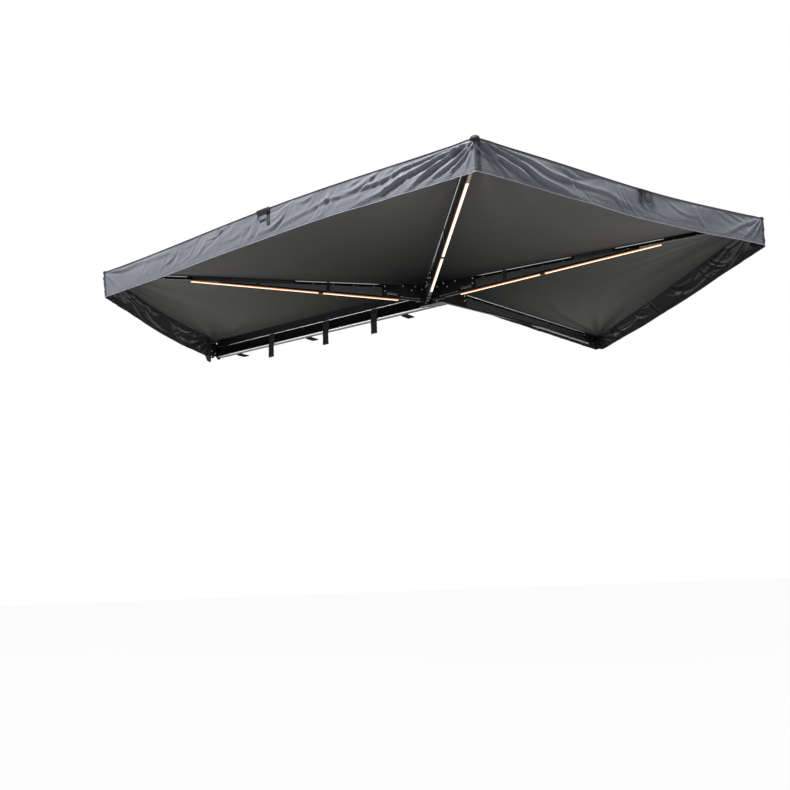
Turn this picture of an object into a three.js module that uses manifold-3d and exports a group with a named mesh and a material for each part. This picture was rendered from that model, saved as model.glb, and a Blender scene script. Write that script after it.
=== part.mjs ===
// A 270 degree vehicle side awning, opened: a rail with a hub at its rear end, four swinging arms
// that hinge each on the one before, and a canopy of four cloth panels with hanging valances.
// Units are millimetres, +Z is up, +Y runs forward along the rail and +X points to the vehicle.
// The origin is the middle mount bracket's lower face, where the awning is bolted down.

import * as THREE from 'three';
import { mergeVertices } from 'three/addons/utils/BufferGeometryUtils.js';
import Module from 'manifold-3d';

const wasm = await Module();
wasm.setup();

// Overall sizes. The overrun is how far cutters pass a face, the weld how far joined solids meet.
const arm_reach = 2300;
const open_angles = [0, 49, 130, 188, 263];
const pivot_spacing = 46;
const seat_gap = 0.3;
const overrun = 5;
const weld = 1;

// Cloth
const cloth_thickness = 3;
const cloth_lift = 0.4;
const canopy_start = 70;
const canopy_sag_shares = { 1: 0.0157, 2: -0.0148, 3: 0.0113, 4: 0.0104 };
const canopy_sag_skews = { 1: 1, 2: 1.25, 3: 1.25, 4: 1 };
const canopy_sag_power = 1.5;
const canopy_edge_draw = 8;
const valance_drop = 172;
const valance_drop_shares = { 1: [1.035, 1.035], 2: [1, 1], 3: [1, 1], 4: [1.07, 0.86] };
const valance_tuck_shares = [0, 0.07, 0.08, 0.035, 0];
const valance_wave = 3;
const valance_folds = 7;
const seam_gap = 0.5;
const valance_gap = 0.5;
const valance_start_shares = { 1: 0.062 };
const flap_drop = 120;
const flap_root_drop = 85;
const flap_end_inset = 8;
const flap_wave = 3;
const flap_folds = 5;

// Hub: ears, barrels and pins, stepped so that each arm nests inside the one before
const hub_top = 8;
const ear_thickness = 6;
const ear_gap = 0.5;
const ear_radius = 20;
const barrel_radius = 20;
const pin_radius = 6;
const pin_clearance = 0.5;
const pin_head_radius = 11;
const pin_head_height = 4;
const pin_nut_radius = 10;
const pin_nut_height = 7;

// Arm sections
const rafter_width = 24;
const rafter_depth = 26;
const rafter_wall = 2;
const keder_radius = 3;
const keder_mouth = 2.4;
const keder_offset = 7;
const keder_drop = 3.6;
const rafter_setback = 58;
const web_inset = 1;
const web_wall = 2;
const web_least_depth = 3;
const brace_inset = 2;
const brace_depth = 12;
const brace_wall = 2;
const brace_rise_shares = { 1: 1.511, 2: 0.371, 3: 1.511, 4: 0.989 };
const brace_end_setback = 24;
const root_block_start = 23;
const root_block_end = 80;
const root_block_top = 1.5;
const root_block_inset = 10;
const brace_root_inset = 8;
const cheek_thickness = 2.5;
const cheek_reach = 340;
const cheek_top = 3;
const cheek_corner = 10;
const tip_cap_length = 18;
const tip_cap_margin = 2;
const tip_cap_below = 5;
const tip_nose_radius = 9;

// Light bars under the brace. Each clip joins an inner and an outer bar.
const light_inset = 1;
const light_depth = 10;
const light_corner = 4;
const light_start = 214;
const light_clip_shares = { 1: 0.345, 2: 0.391, 3: 0.3665 };
const light_end_shares = { 1: 0.746, 2: 0.87, 3: 0.726 };
const light_split = 26;
const light_clip_wall = 2;
const light_clip_rise = 10;
const light_clip_overlap = 4;

// Side pockets, on the rafter of the first and third arm
const pocket_thickness = 8;
const pocket_depth = 33;
const pocket_corner = 6;
const pocket_span_shares = { 1: [0.439, 0.739], 3: [0.47, 0.587] };
const pocket_sides = { 1: -1, 3: 1 };

// Rail
const rail_top = 62;
const rail_height = 94;
const rail_depth = 44;
const rail_face = 14;
const rail_rear = 30;
const rail_setback = 38;
const rail_wall = 4;
const rail_corner = 3;
const ridge_count = 3;
const ridge_first = 16;
const ridge_pitch = 17;
const ridge_height = 7;
const ridge_depth = 2;
const ridge_bevel = 1.5;
const lip_radius = 7;
const slot_mouth = 9;
const slot_width = 16;
const slot_lip = 2.5;
const slot_depth = 7;
const slot_height_shares = [0.26, 0.74];
const chamber_share = 0.5;
const cap_thickness = 4;
const cap_plug = 22;
const rail_front = arm_reach - rail_setback;

// First rafter, fixed on the rail
const first_rafter_start = 60;

// Mount brackets
const bracket_width = 60;
const bracket_thickness = 6;
const bracket_reach = 92;
const bracket_drop = 6;
const bracket_bend = 7;
const bracket_slot_width = 10;
const bracket_slot_length = 34;
const bracket_slot_offset = 15;
const bracket_slot_place = 52;
const bracket_rib_thickness = 6;
const bracket_rib_height = 40;
const bracket_rib_reach = 44;
const bolt_head_radius = 6.5;
const bolt_head_height = 5;
const bolt_sides = 6;
const bracket_place_shares = [0.125, 0.55, 0.9];

// Hub bracket
const hub_plate_thickness = 10;
const hub_plate_rear = 38;
const hub_plate_front = 58;
const hub_plate_margin = 2;
const hub_ear_margin = 6;
const foot_thickness = 12;
const foot_left = 62;
const foot_right = 28;
const foot_rear = 150;
const foot_corner = 26;

// Widths that follow the rafter's: the web and the brace are narrower, the tip cap is wider.
const web_width = rafter_width - web_inset * 2;
const brace_width = rafter_width - brace_inset * 2;
const light_width = brace_width - light_inset * 2;
const tip_cap_width = rafter_width + tip_cap_margin * 2;
const tip_cap_depth = rafter_depth + tip_cap_below;

// Heights that follow the rail's: the foot is level with the rail's lower face, and the hub's plate
// ends above the rounded lip.
const rail_bottom = rail_top + rail_height;
const foot_top = rail_bottom - foot_thickness;
const hub_plate_bottom = rail_bottom - lip_radius - lip_radius - hub_plate_margin;
const hub_bottom = hub_plate_bottom - hub_ear_margin;
const root_block_bottom = hub_bottom - root_block_inset;
const brace_root_depth = root_block_bottom - brace_root_inset;

// Front latch bracket
const latch_thickness = 6;
const latch_left = 88;
const latch_right = 30;
const latch_top = 34;
const latch_reach_below = 14;
const latch_corner = 14;
const latch_lobe = 22;

// Storage straps that hang over the rail
const strap_width = 58;
const strap_thickness = 2.5;
const strap_length_below = 118;
const strap_place_shares = [0.222, 0.435, 0.695];
const strap_top_inset = 3;
const strap_wave = 4;
const buckle_width = 70;
const buckle_height = 26;
const buckle_thickness = 4;
const buckle_bar = 5;
const buckle_drop = 40;

// How finely round forms are faceted
const round_steps = 28;
const arc_steps = 6;
const canopy_steps_across = 12;
const canopy_steps_out = 9;
const valance_steps_along = 28;
const valance_steps_down = 4;
const flap_steps_along = 20;
const flap_steps_down = 3;

// Colours and finishes
const finishes = {
  anodised: { color: 0x2a2b2e, roughness: 0.42, metalness: 0.85 },
  grey_aluminium: { color: 0x6d7074, roughness: 0.4, metalness: 0.85 },
  black_casting: { color: 0x17181a, roughness: 0.5, metalness: 0.6 },
  steel: { color: 0xb9bbbd, roughness: 0.3, metalness: 1 },
  black_plastic: { color: 0x141415, roughness: 0.55, metalness: 0 },
  light: { color: 0xffe9cf, roughness: 0.35, metalness: 0 },
  canopy: { color: 0x4b4c49, roughness: 0.9, metalness: 0 },
  valance: { color: 0x5a5b64, roughness: 0.85, metalness: 0 },
  webbing: { color: 0x1b1b1d, roughness: 0.9, metalness: 0 },
};

const half = 0.5;
const right_angle = Math.PI * half;

// Solids and how they join

function solid(geometry) {
  const bare = geometry.clone();
  bare.deleteAttribute('normal');
  bare.deleteAttribute('uv');
  const merged = mergeVertices(bare);
  return new wasm.Manifold(new wasm.Mesh({
    numProp: 3,
    vertProperties: new Float32Array(merged.attributes.position.array),
    triVerts: new Uint32Array(merged.index.array),
  }));
}

function geometryOf(body) {
  const mesh = body.getMesh();
  const geometry = new THREE.BufferGeometry();
  geometry.setAttribute('position', new THREE.BufferAttribute(mesh.vertProperties, 3));
  geometry.setIndex(new THREE.BufferAttribute(mesh.triVerts, 1));
  return geometry;
}

function join(...geometries) {
  const body = geometries.map(solid).reduce((sum, next) => sum.add(next));
  return geometryOf(body);
}

function cut(geometry, ...cutters) {
  const body = cutters.map(solid).reduce((rest, next) => rest.subtract(next), solid(geometry));
  return geometryOf(body);
}

function shared(one, other) {
  return geometryOf(solid(one).intersect(solid(other)));
}

function meshOf(name, geometry, finish) {
  const shown = geometry.index ? geometry.toNonIndexed() : geometry.clone();
  shown.computeVertexNormals();
  const mesh = new THREE.Mesh(shown, new THREE.MeshStandardMaterial(finishes[finish]));
  mesh.name = name;
  return mesh;
}

// Prisms: a section drawn on a plane and carried square to it

function upward(shape, low, high) {
  const geometry = new THREE.ExtrudeGeometry(shape, {
    depth: high - low, bevelEnabled: false, curveSegments: arc_steps,
  });
  return geometry.translate(0, 0, low);
}

// The shape's x and y become X and Z, and the prism runs along Y.
function lengthwise(shape, rear, front) {
  const geometry = new THREE.ExtrudeGeometry(shape, {
    depth: front - rear, bevelEnabled: false, curveSegments: arc_steps,
  });
  geometry.rotateX(right_angle);
  return geometry.translate(0, front, 0);
}

// The shape's x and y become Y and Z, and the prism runs along X.
function crosswise(shape, left, right) {
  const geometry = new THREE.ExtrudeGeometry(shape, {
    depth: right - left, bevelEnabled: false, curveSegments: arc_steps,
  });
  const turn = new THREE.Matrix4().makeBasis(
    new THREE.Vector3(0, 1, 0),
    new THREE.Vector3(0, 0, 1),
    new THREE.Vector3(1, 0, 0),
  );
  geometry.applyMatrix4(turn);
  return geometry.translate(left, 0, 0);
}

function upright(radius, low, high, x = 0, y = 0, sides = round_steps) {
  const geometry = new THREE.CylinderGeometry(radius, radius, high - low, sides);
  geometry.rotateX(right_angle);
  return geometry.translate(x, y, (low + high) * half);
}

// A hexagon head that stands on the plane y = 0, along +Y.
function boltHead() {
  const height = bolt_head_height + weld;
  const head = new THREE.CylinderGeometry(bolt_head_radius, bolt_head_radius, height, bolt_sides);
  return head.translate(0, height * half - weld, 0);
}

function block(left, right, rear, front, bottom, top) {
  const geometry = new THREE.BoxGeometry(right - left, front - rear, top - bottom);
  return geometry.translate((left + right) * half, (rear + front) * half, (bottom + top) * half);
}

// Sections

function roundedRect(left, right, bottom, top, corner) {
  const shape = new THREE.Shape();
  shape.moveTo(left + corner, bottom);
  shape.lineTo(right - corner, bottom);
  shape.absarc(right - corner, bottom + corner, corner, -right_angle, 0, false);
  shape.lineTo(right, top - corner);
  shape.absarc(right - corner, top - corner, corner, 0, right_angle, false);
  shape.lineTo(left + corner, top);
  shape.absarc(left + corner, top - corner, corner, right_angle, Math.PI, false);
  shape.lineTo(left, bottom + corner);
  shape.absarc(left + corner, bottom + corner, corner, Math.PI, Math.PI + right_angle, false);
  return shape;
}

function polygon(points) {
  const shape = new THREE.Shape();
  points.forEach(([x, y], i) => (i === 0 ? shape.moveTo(x, y) : shape.lineTo(x, y)));
  shape.closePath();
  return shape;
}

// An eye-shaped plate from the pivot to the next one, round at both ends.
function earShape(from, to, radius) {
  const shape = new THREE.Shape();
  shape.moveTo(from, -radius);
  shape.absarc(from, 0, radius, -right_angle, right_angle, false);
  shape.lineTo(to, radius);
  shape.absarc(to, 0, radius, right_angle, Math.PI + right_angle, false);
  return shape;
}

// A band of even thickness whose middle follows the points.
function bandShape(points, thickness) {
  const sides = points.map(([x, y], i) => {
    const before = points[Math.max(i - 1, 0)];
    const after = points[Math.min(i + 1, points.length - 1)];
    const along = new THREE.Vector2(after[0] - before[0], after[1] - before[1]).normalize();
    const out = thickness * half;
    return {
      one: [x - along.y * out, y + along.x * out],
      other: [x + along.y * out, y - along.x * out],
    };
  });
  return polygon([...sides.map((s) => s.other), ...sides.map((s) => s.one).reverse()]);
}

// A box section with two keder grooves in its top and a hollow inside.
function rafterSection(depth) {
  const side = rafter_width * half;
  const shape = new THREE.Shape();
  shape.moveTo(-side, -depth);
  shape.lineTo(side, -depth);
  shape.lineTo(side, 0);
  [keder_offset, -keder_offset].forEach((centre) => {
    const lean = Math.asin((keder_mouth * half) / keder_radius);
    shape.lineTo(centre + keder_mouth * half, 0);
    shape.absarc(centre, -keder_drop, keder_radius, right_angle - lean, right_angle + lean, true);
    shape.lineTo(centre - keder_mouth * half, 0);
  });
  shape.lineTo(-side, 0);
  shape.closePath();
  const roof = keder_drop + keder_radius + rafter_wall;
  const inner = side - rafter_wall;
  shape.holes.push(polygon([
    [-inner, -depth + rafter_wall],
    [inner, -depth + rafter_wall],
    [inner, -roof],
    [-inner, -roof],
  ]));
  return shape;
}

// The rail's section: ridged face at the left, rounded lip below it, two bolt slots at the back.
function railSection() {
  const left = -rail_face;
  const right = left + rail_depth;
  const top = -rail_top;
  const bottom = -rail_bottom;
  const shape = new THREE.Shape();
  shape.moveTo(left, top);
  for (let i = 0; i < ridge_count; i += 1) {
    const start = top - ridge_first - i * ridge_pitch;
    shape.lineTo(left, start);
    shape.lineTo(left + ridge_depth, start - ridge_bevel);
    shape.lineTo(left + ridge_depth, start - ridge_height + ridge_bevel);
    shape.lineTo(left, start - ridge_height);
  }
  shape.absarc(left, bottom + lip_radius, lip_radius, right_angle, Math.PI + right_angle, false);
  shape.lineTo(right - rail_corner, bottom);
  shape.absarc(right - rail_corner, bottom + rail_corner, rail_corner, -right_angle, 0, false);
  slot_height_shares.forEach((share) => {
    const middle = bottom + rail_height * share;
    const floor = right - slot_lip - slot_depth;
    shape.lineTo(right, middle - slot_mouth * half);
    shape.lineTo(right - slot_lip, middle - slot_mouth * half);
    shape.lineTo(right - slot_lip, middle - slot_width * half);
    shape.lineTo(floor, middle - slot_width * half);
    shape.lineTo(floor, middle + slot_width * half);
    shape.lineTo(right - slot_lip, middle + slot_width * half);
    shape.lineTo(right - slot_lip, middle + slot_mouth * half);
    shape.lineTo(right, middle + slot_mouth * half);
  });
  shape.lineTo(right, top);
  shape.closePath();
  shape.holes.push(chamberShape(0));
  return shape;
}

// The rail's outline without its ridges and slots, for the end caps.
function railOutline() {
  const right = -rail_face + rail_depth;
  const bottom = -rail_bottom;
  const shape = new THREE.Shape();
  shape.moveTo(-rail_face, -rail_top);
  shape.absarc(-rail_face, bottom + lip_radius, lip_radius, right_angle, Math.PI + right_angle, false);
  shape.lineTo(right - rail_corner, bottom);
  shape.absarc(right - rail_corner, bottom + rail_corner, rail_corner, -right_angle, 0, false);
  shape.lineTo(right, -rail_top);
  shape.closePath();
  return shape;
}

// The hollow inside the rail, drawn in by a clearance for what plugs into it.
function chamberShape(clearance) {
  const left = -rail_face + ridge_depth + rail_wall + clearance;
  const right = -rail_face + rail_depth - slot_lip - slot_depth - rail_wall - clearance;
  const bottom = -rail_bottom + rail_wall + clearance;
  const top = -rail_top - rail_wall - clearance;
  return roundedRect(left, right, bottom, top, rail_wall * chamber_share);
}

// Where the arms stand

const turn = open_angles.map((degrees) => THREE.MathUtils.degToRad(degrees));
const outward = (k) => new THREE.Vector3(-Math.sin(turn[k]), Math.cos(turn[k]), 0);
const sideways = (k) => new THREE.Vector3(-Math.cos(turn[k]), -Math.sin(turn[k]), 0);
const pivots = [new THREE.Vector3(0, 0, 0)];
for (let k = 0; k < turn.length - 1; k += 1) {
  pivots.push(pivots[k].clone().addScaledVector(sideways(k), pivot_spacing));
}

// A point on the line of arm k, at a distance from its pivot and to its side.
function onArm(k, reach, side, height) {
  const point = pivots[k].clone();
  point.addScaledVector(outward(k), reach);
  point.addScaledVector(sideways(k), side);
  point.z = height;
  return point;
}

// Heights of the nested ears, level 0 on the rail and 1 to 3 on the arms
const ear_step = ear_thickness + ear_gap;
const earTop = (level) => -hub_top - level * ear_step;
const earBottom = (level) => -hub_bottom + level * ear_step;

// The rafter's outer end, short of the canopy's corner
const rafter_end = arm_reach - rafter_setback;

// The brace slopes up towards the tip, over the arm's reach by a share of the web's depth at the
// root. It ends where it meets the rafter or near the rafter's end.
const chord_start = root_block_end + weld;
const brace_top_rise = brace_depth * half;
const webDepth = () => brace_root_depth - brace_top_rise - rafter_depth - seat_gap;
const braceSlope = (k) => (webDepth() * brace_rise_shares[k]) / arm_reach;
const braceLine = (k, reach) => -brace_root_depth + braceSlope(k) * reach;
const braceAngle = (k) => Math.atan(braceSlope(k));
const braceEnd = (k) => Math.min(webDepth() / braceSlope(k), rafter_end - brace_end_setback);

// A distance along the arm, counted along the sloping brace
const chordReach = (k, reach) => (reach - chord_start) / Math.cos(braceAngle(k));

// Cloth: a closed sheet on a grid of points, with its thickness laid to one side

function sheetSolid(point, thickness, across, down) {
  const positions = [];
  const index = [];
  const row = across + 1;
  const layer = row * (down + 1);
  for (let side = 0; side < 2; side += 1) {
    for (let j = 0; j <= down; j += 1) {
      for (let i = 0; i <= across; i += 1) {
        const { at, out } = point(i / across, j / down);
        const place = at.clone().addScaledVector(out, thickness * side);
        positions.push(place.x, place.y, place.z);
      }
    }
  }
  const quad = (a, b, c, d) => index.push(a, b, c, a, c, d);
  for (let j = 0; j < down; j += 1) {
    for (let i = 0; i < across; i += 1) {
      const a = j * row + i;
      quad(a, a + row, a + row + 1, a + 1);
      quad(layer + a, layer + a + 1, layer + a + row + 1, layer + a + row);
    }
  }
  for (let i = 0; i < across; i += 1) {
    const last = down * row + i;
    quad(i, i + 1, layer + i + 1, layer + i);
    quad(last + 1, last, layer + last, layer + last + 1);
  }
  for (let j = 0; j < down; j += 1) {
    const a = j * row;
    const b = a + across;
    quad(a + row, a, layer + a, layer + a + row);
    quad(b, b + row, layer + b + row, layer + b);
  }
  const geometry = new THREE.BufferGeometry();
  geometry.setAttribute('position', new THREE.Float32BufferAttribute(positions, 3));
  geometry.setIndex(index);
  return volumeOf(geometry) < 0 ? flipped(geometry) : geometry;
}

function volumeOf(geometry) {
  const spots = geometry.attributes.position;
  const corners = geometry.index.array;
  const at = (n) => new THREE.Vector3().fromBufferAttribute(spots, corners[n]);
  let sum = 0;
  for (let n = 0; n < corners.length; n += 3) {
    sum += at(n).dot(at(n + 1).cross(at(n + 2)));
  }
  return sum;
}

function flipped(geometry) {
  const corners = geometry.index.array;
  for (let n = 0; n < corners.length; n += 3) {
    [corners[n], corners[n + 1]] = [corners[n + 1], corners[n]];
  }
  return geometry;
}

// How far a panel reaches past the line of each of its arms: short of it where another panel
// meets it, and over the whole rafter at the canopy's first and last edge.
function panelEdges(k) {
  const over = rafter_width * half;
  return {
    near: k === 1 ? -over : seam_gap,
    far: k === turn.length - 1 ? -over : seam_gap,
  };
}

// A panel between arms k - 1 and k sags in the middle, or is lifted by the wind where its sag is
// below zero, and its outer edge is drawn in.
function canopyPoint(k, u, v) {
  const edges = panelEdges(k);
  const reach = canopy_start + (arm_reach - canopy_start) * v;
  const near = onArm(k - 1, reach, edges.near, 0);
  const far = onArm(k, reach, -edges.far, 0);
  const drawn = canopy_edge_draw * Math.sin(Math.PI * u) * v ** 4;
  const inward = outward(k - 1).lerp(outward(k), u).normalize();
  const point = near.lerp(far, u).addScaledVector(inward, -drawn);
  const sagged = Math.sin(Math.PI * u ** canopy_sag_skews[k]) ** canopy_sag_power;
  point.z = cloth_lift - arm_reach * canopy_sag_shares[k] * sagged * v ** 2;
  return point;
}

// The panel's columns are closer together near the arms, where it lies on the rafters.
function canopyPanel(k) {
  const out = new THREE.Vector3(0, 0, 1);
  const point = (share, v) => {
    const u = (1 - Math.cos(Math.PI * share)) * half;
    return { at: canopyPoint(k, u, v), out };
  };
  return sheetSolid(point, cloth_thickness, canopy_steps_across, canopy_steps_out);
}

// A valance hangs from the canopy's outer edge, leans in at the bottom and waves along its hem.
function valance(k) {
  const first = valance_start_shares[k] || 0;
  const start = canopyPoint(k, 0, 1);
  const end = canopyPoint(k, 1, 1);
  const along = end.clone().sub(start).setZ(0).normalize();
  const out = new THREE.Vector3(along.y, -along.x, 0);
  if (out.dot(outward(k)) < 0) out.negate();
  const point = (along_share, v) => {
    const u = THREE.MathUtils.lerp(first, 1, along_share);
    const edge = canopyPoint(k, u, 1);
    const inward = outward(k - 1).lerp(outward(k), u).normalize();
    const wave = valance_wave * Math.sin(Math.PI * u) * Math.sin(Math.PI * valance_folds * u);
    const at = edge.clone().addScaledVector(out, valance_gap + wave * v ** 2);
    const drop = valance_drop * THREE.MathUtils.lerp(...valance_drop_shares[k], u);
    const tuck = valance_drop * THREE.MathUtils.lerp(...valance_tuck_shares.slice(k - 1, k + 1), u);
    at.addScaledVector(inward, -tuck * v ** 2);
    at.z = edge.z + cloth_thickness - drop * v;
    return { at, out };
  };
  return sheetSolid(point, cloth_thickness, valance_steps_along, valance_steps_down);
}

// The flap along the last arm hangs on the rafter's outer side, in the arm's own frame, and its end
// lies over the tip cap.
function sideFlap() {
  const start = cheek_reach + seat_gap;
  const end = arm_reach - flap_end_inset;
  const hung = -tip_cap_width * half - seat_gap;
  const out = new THREE.Vector3(-1, 0, 0);
  const point = (u, v) => {
    const drop = THREE.MathUtils.lerp(flap_root_drop, flap_drop, u);
    const swing = (1 - Math.cos(2 * Math.PI * flap_folds * u)) * half;
    const at = new THREE.Vector3(
      hung - flap_wave * swing * v,
      THREE.MathUtils.lerp(start, end, u),
      -drop * v,
    );
    return { at, out };
  };
  return sheetSolid(point, cloth_thickness, flap_steps_along, flap_steps_down);
}

// Arm pieces, each in the frame of its arm: pivot at the origin, arm along +Y

function rootCasting(k) {
  const top = earTop(k);
  const bottom = earBottom(k);
  const side = rafter_width * half + seat_gap + cheek_thickness;
  const inner = side - cheek_thickness;
  const barrel = upright(barrel_radius, bottom, top);
  const neck = block(-side, side, 0, root_block_start + weld, bottom, top);
  const body = block(-side, side, root_block_start, root_block_end,
    -root_block_bottom, -root_block_top);
  const cheeks = [[-side, -inner], [inner, side]].map(([left, right]) => crosswise(
    cheekShape(k),
    left,
    right,
  ));
  const carriesNext = k < turn.length - 1;
  const ears = carriesNext
    ? [[top - ear_thickness, top], [bottom, bottom + ear_thickness]].map(
      ([low, high]) => upward(earShape(0, -pivot_spacing, ear_radius), low, high),
    )
    : [];
  const bore = pin_radius + pin_clearance;
  const holes = [upright(bore, -hub_bottom - overrun, overrun)];
  if (carriesNext) holes.push(upright(bore, -hub_bottom - overrun, overrun, -pivot_spacing));
  return cut(join(barrel, neck, body, ...cheeks, ...ears), ...holes);
}

// A cheek covers the rafter's root and the web, and its lower edge follows the brace.
function cheekShape(k) {
  const start = root_block_end - cheek_corner;
  const arc_height = -cheek_top - cheek_corner;
  const shape = new THREE.Shape();
  shape.moveTo(start, -root_block_top - cheek_top);
  shape.lineTo(start, braceLine(k, start));
  shape.lineTo(cheek_reach, braceLine(k, cheek_reach));
  shape.lineTo(cheek_reach, arc_height);
  shape.absarc(cheek_reach - cheek_corner, arc_height, cheek_corner, 0, right_angle, false);
  shape.closePath();
  return shape;
}

function kingPin(level) {
  const top = earTop(level) + seat_gap;
  const bottom = earBottom(level) - seat_gap;
  const head = upright(pin_head_radius, top, top + pin_head_height);
  const shaft = upright(pin_radius, bottom - pin_nut_height, top + pin_head_height);
  const nut = upright(pin_nut_radius, bottom - pin_nut_height, bottom, 0, 0, bolt_sides);
  return join(head, shaft, nut);
}

function rafter() {
  return lengthwise(rafterSection(rafter_depth), root_block_end + seat_gap, rafter_end);
}

// The web is a folded sheet, open at the top, that fills the space between rafter and brace.
function web(k) {
  const top = -rafter_depth - seat_gap;
  const lower = (reach) => braceLine(k, reach) + brace_top_rise + seat_gap;
  const start = root_block_end + seat_gap;
  const thin = (webDepth() - seat_gap - web_least_depth) / braceSlope(k);
  const end = Math.min(thin, rafter_end - brace_end_setback);
  const side = web_width * half;
  const inner = side - web_wall;
  const outside = crosswise(
    polygon([[start, lower(start)], [end, lower(end)], [end, top], [start, top]]),
    -side,
    side,
  );
  const floor = (reach) => lower(reach) + web_wall;
  const before = start - overrun;
  const after = end - web_wall;
  const above = top + overrun;
  const trough = crosswise(
    polygon([[before, floor(before)], [after, floor(after)], [after, above], [before, above]]),
    -inner,
    inner,
  );
  return cut(outside, trough);
}

// The brace and the light bars lie along the sloping lower chord, in a frame turned to it.
function brace(k) {
  const side = brace_width * half;
  const section = roundedRect(-side, side, -brace_top_rise, brace_top_rise, brace_wall);
  const inner = side - brace_wall;
  const height = brace_top_rise - brace_wall;
  section.holes.push(polygon([[-inner, -height], [inner, -height], [inner, height], [-inner, height]]));
  return lengthwise(section, 0, chordReach(k, braceEnd(k)));
}

// Where the two light bars of an arm start and end
function lightSpans(k) {
  const clip = arm_reach * light_clip_shares[k];
  return {
    inner: [light_start, clip - light_split * half],
    outer: [clip + light_split * half, arm_reach * light_end_shares[k]],
  };
}

function lightBar(k, [start, end]) {
  const side = light_width * half;
  const top = -brace_top_rise - seat_gap;
  const low = top - light_depth;
  const shape = new THREE.Shape();
  const turned = side - light_corner;
  const middle = low + light_corner;
  shape.moveTo(-side, top);
  shape.absarc(-turned, middle, light_corner, Math.PI, Math.PI + right_angle, false);
  shape.absarc(turned, middle, light_corner, -right_angle, 0, false);
  shape.lineTo(side, top);
  shape.closePath();
  return lengthwise(shape, chordReach(k, start), chordReach(k, end));
}

// A clip wraps the brace and the ends of both light bars.
function lightClip(k) {
  const inner = brace_width * half + seat_gap;
  const outer = inner + light_clip_wall;
  const floor = -brace_top_rise - light_depth - seat_gap - seat_gap;
  const top = floor + light_depth + light_clip_rise;
  const section = polygon([
    [-outer, floor - light_clip_wall],
    [outer, floor - light_clip_wall],
    [outer, top],
    [inner, top],
    [inner, floor],
    [-inner, floor],
    [-inner, top],
    [-outer, top],
  ]);
  const spans = lightSpans(k);
  const start = spans.inner[1] - light_clip_overlap;
  const end = spans.outer[0] + light_clip_overlap;
  return lengthwise(section, chordReach(k, start), chordReach(k, end));
}

// The tip cap closes the rafter's end with a nose that is round from above and from the side.
function tipCap() {
  const side = tip_cap_width * half;
  const start = rafter_end + seat_gap;
  const end = start + tip_cap_length;
  const nose = noseShape(start, end, -tip_cap_depth, 0, tip_nose_radius);
  const plan = noseShape(start, end, -side, side, tip_nose_radius);
  const from_side = crosswise(nose, -side, side);
  const from_above = upward(plan, -tip_cap_depth, 0).rotateZ(right_angle);
  return shared(from_side, from_above);
}

// A bar's end with two rounded corners, drawn from its start to its end along x.
function noseShape(start, end, low, high, radius) {
  const shape = new THREE.Shape();
  shape.moveTo(start, low);
  shape.lineTo(end - radius, low);
  shape.absarc(end - radius, low + radius, radius, -right_angle, 0, false);
  shape.absarc(end - radius, high - radius, radius, 0, right_angle, false);
  shape.lineTo(start, high);
  shape.closePath();
  return shape;
}

function sidePocket(k) {
  const [start, end] = pocket_span_shares[k].map((share) => arm_reach * share);
  const near = rafter_width * half + seat_gap;
  const far = near + pocket_thickness;
  const shape = roundedRect(start, end, -pocket_depth, 0, pocket_corner);
  return pocket_sides[k] > 0 ? crosswise(shape, near, far) : crosswise(shape, -far, -near);
}

// Fixed pieces, in the frame of the hub

function mountingRail() {
  return lengthwise(railSection(), -rail_rear, rail_front);
}

// An end cap covers the rail's end and plugs into its hollow.
function railCap(end, direction) {
  const face = end + direction * seat_gap;
  const outer = face + direction * cap_thickness;
  const inner = end - direction * cap_plug;
  const plate = lengthwise(railOutline(), Math.min(face, outer), Math.max(face, outer));
  const plug = lengthwise(chamberShape(seat_gap), Math.min(inner, outer), Math.max(inner, outer));
  return join(plate, plug);
}

function firstRafter() {
  return lengthwise(rafterSection(rail_top - seat_gap), first_rafter_start, rafter_end);
}

// The hub bracket bolts to the rail's face. Its ears carry the first arm, and its foot runs back
// under the hub.
function hubBracket() {
  const face = -rail_face - seat_gap;
  const left = face - hub_plate_thickness;
  const plate = block(left, face, -hub_plate_rear, hub_plate_front, -hub_plate_bottom, earTop(0));
  const reach = left + hub_plate_thickness * half;
  const past = ear_radius + overrun;
  const ears = [earTop(0) - ear_thickness, earBottom(0)].map((low) => cut(
    upward(earShape(reach, -pivot_spacing, ear_radius), low, low + ear_thickness),
    block(reach, reach + past, -past, past, low - overrun, low + ear_thickness + overrun),
  ));
  const foot_bottom = -foot_top - foot_thickness;
  const beside_lip = -rail_face - lip_radius - seat_gap;
  const wall = block(left, beside_lip, -hub_plate_rear, hub_plate_front, -foot_top - weld,
    -hub_plate_bottom + weld);
  const foot_under = block(-foot_left, beside_lip, -hub_plate_rear - weld, hub_plate_front,
    foot_bottom, -foot_top);
  const foot_back = upward(
    roundedRect(-foot_left, foot_right, -foot_rear, -hub_plate_rear, foot_corner),
    foot_bottom,
    -foot_top,
  );
  const bore = upright(pin_radius + pin_clearance, -hub_bottom - overrun, 0, -pivot_spacing);
  return cut(join(plate, ...ears, wall, foot_under, foot_back), bore);
}

// The latch bracket closes the rail's front end, and two round feet reach below it.
function frontLatch() {
  const rear = rail_front + seat_gap + cap_thickness + seat_gap;
  const plate = lengthwise(latchShape(), rear, rear + latch_thickness);
  const heads = slot_height_shares.map((share) => {
    const height = -rail_bottom + rail_height * share;
    return boltHead().translate(0, rear + latch_thickness, height);
  });
  return join(plate, ...heads);
}

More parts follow.
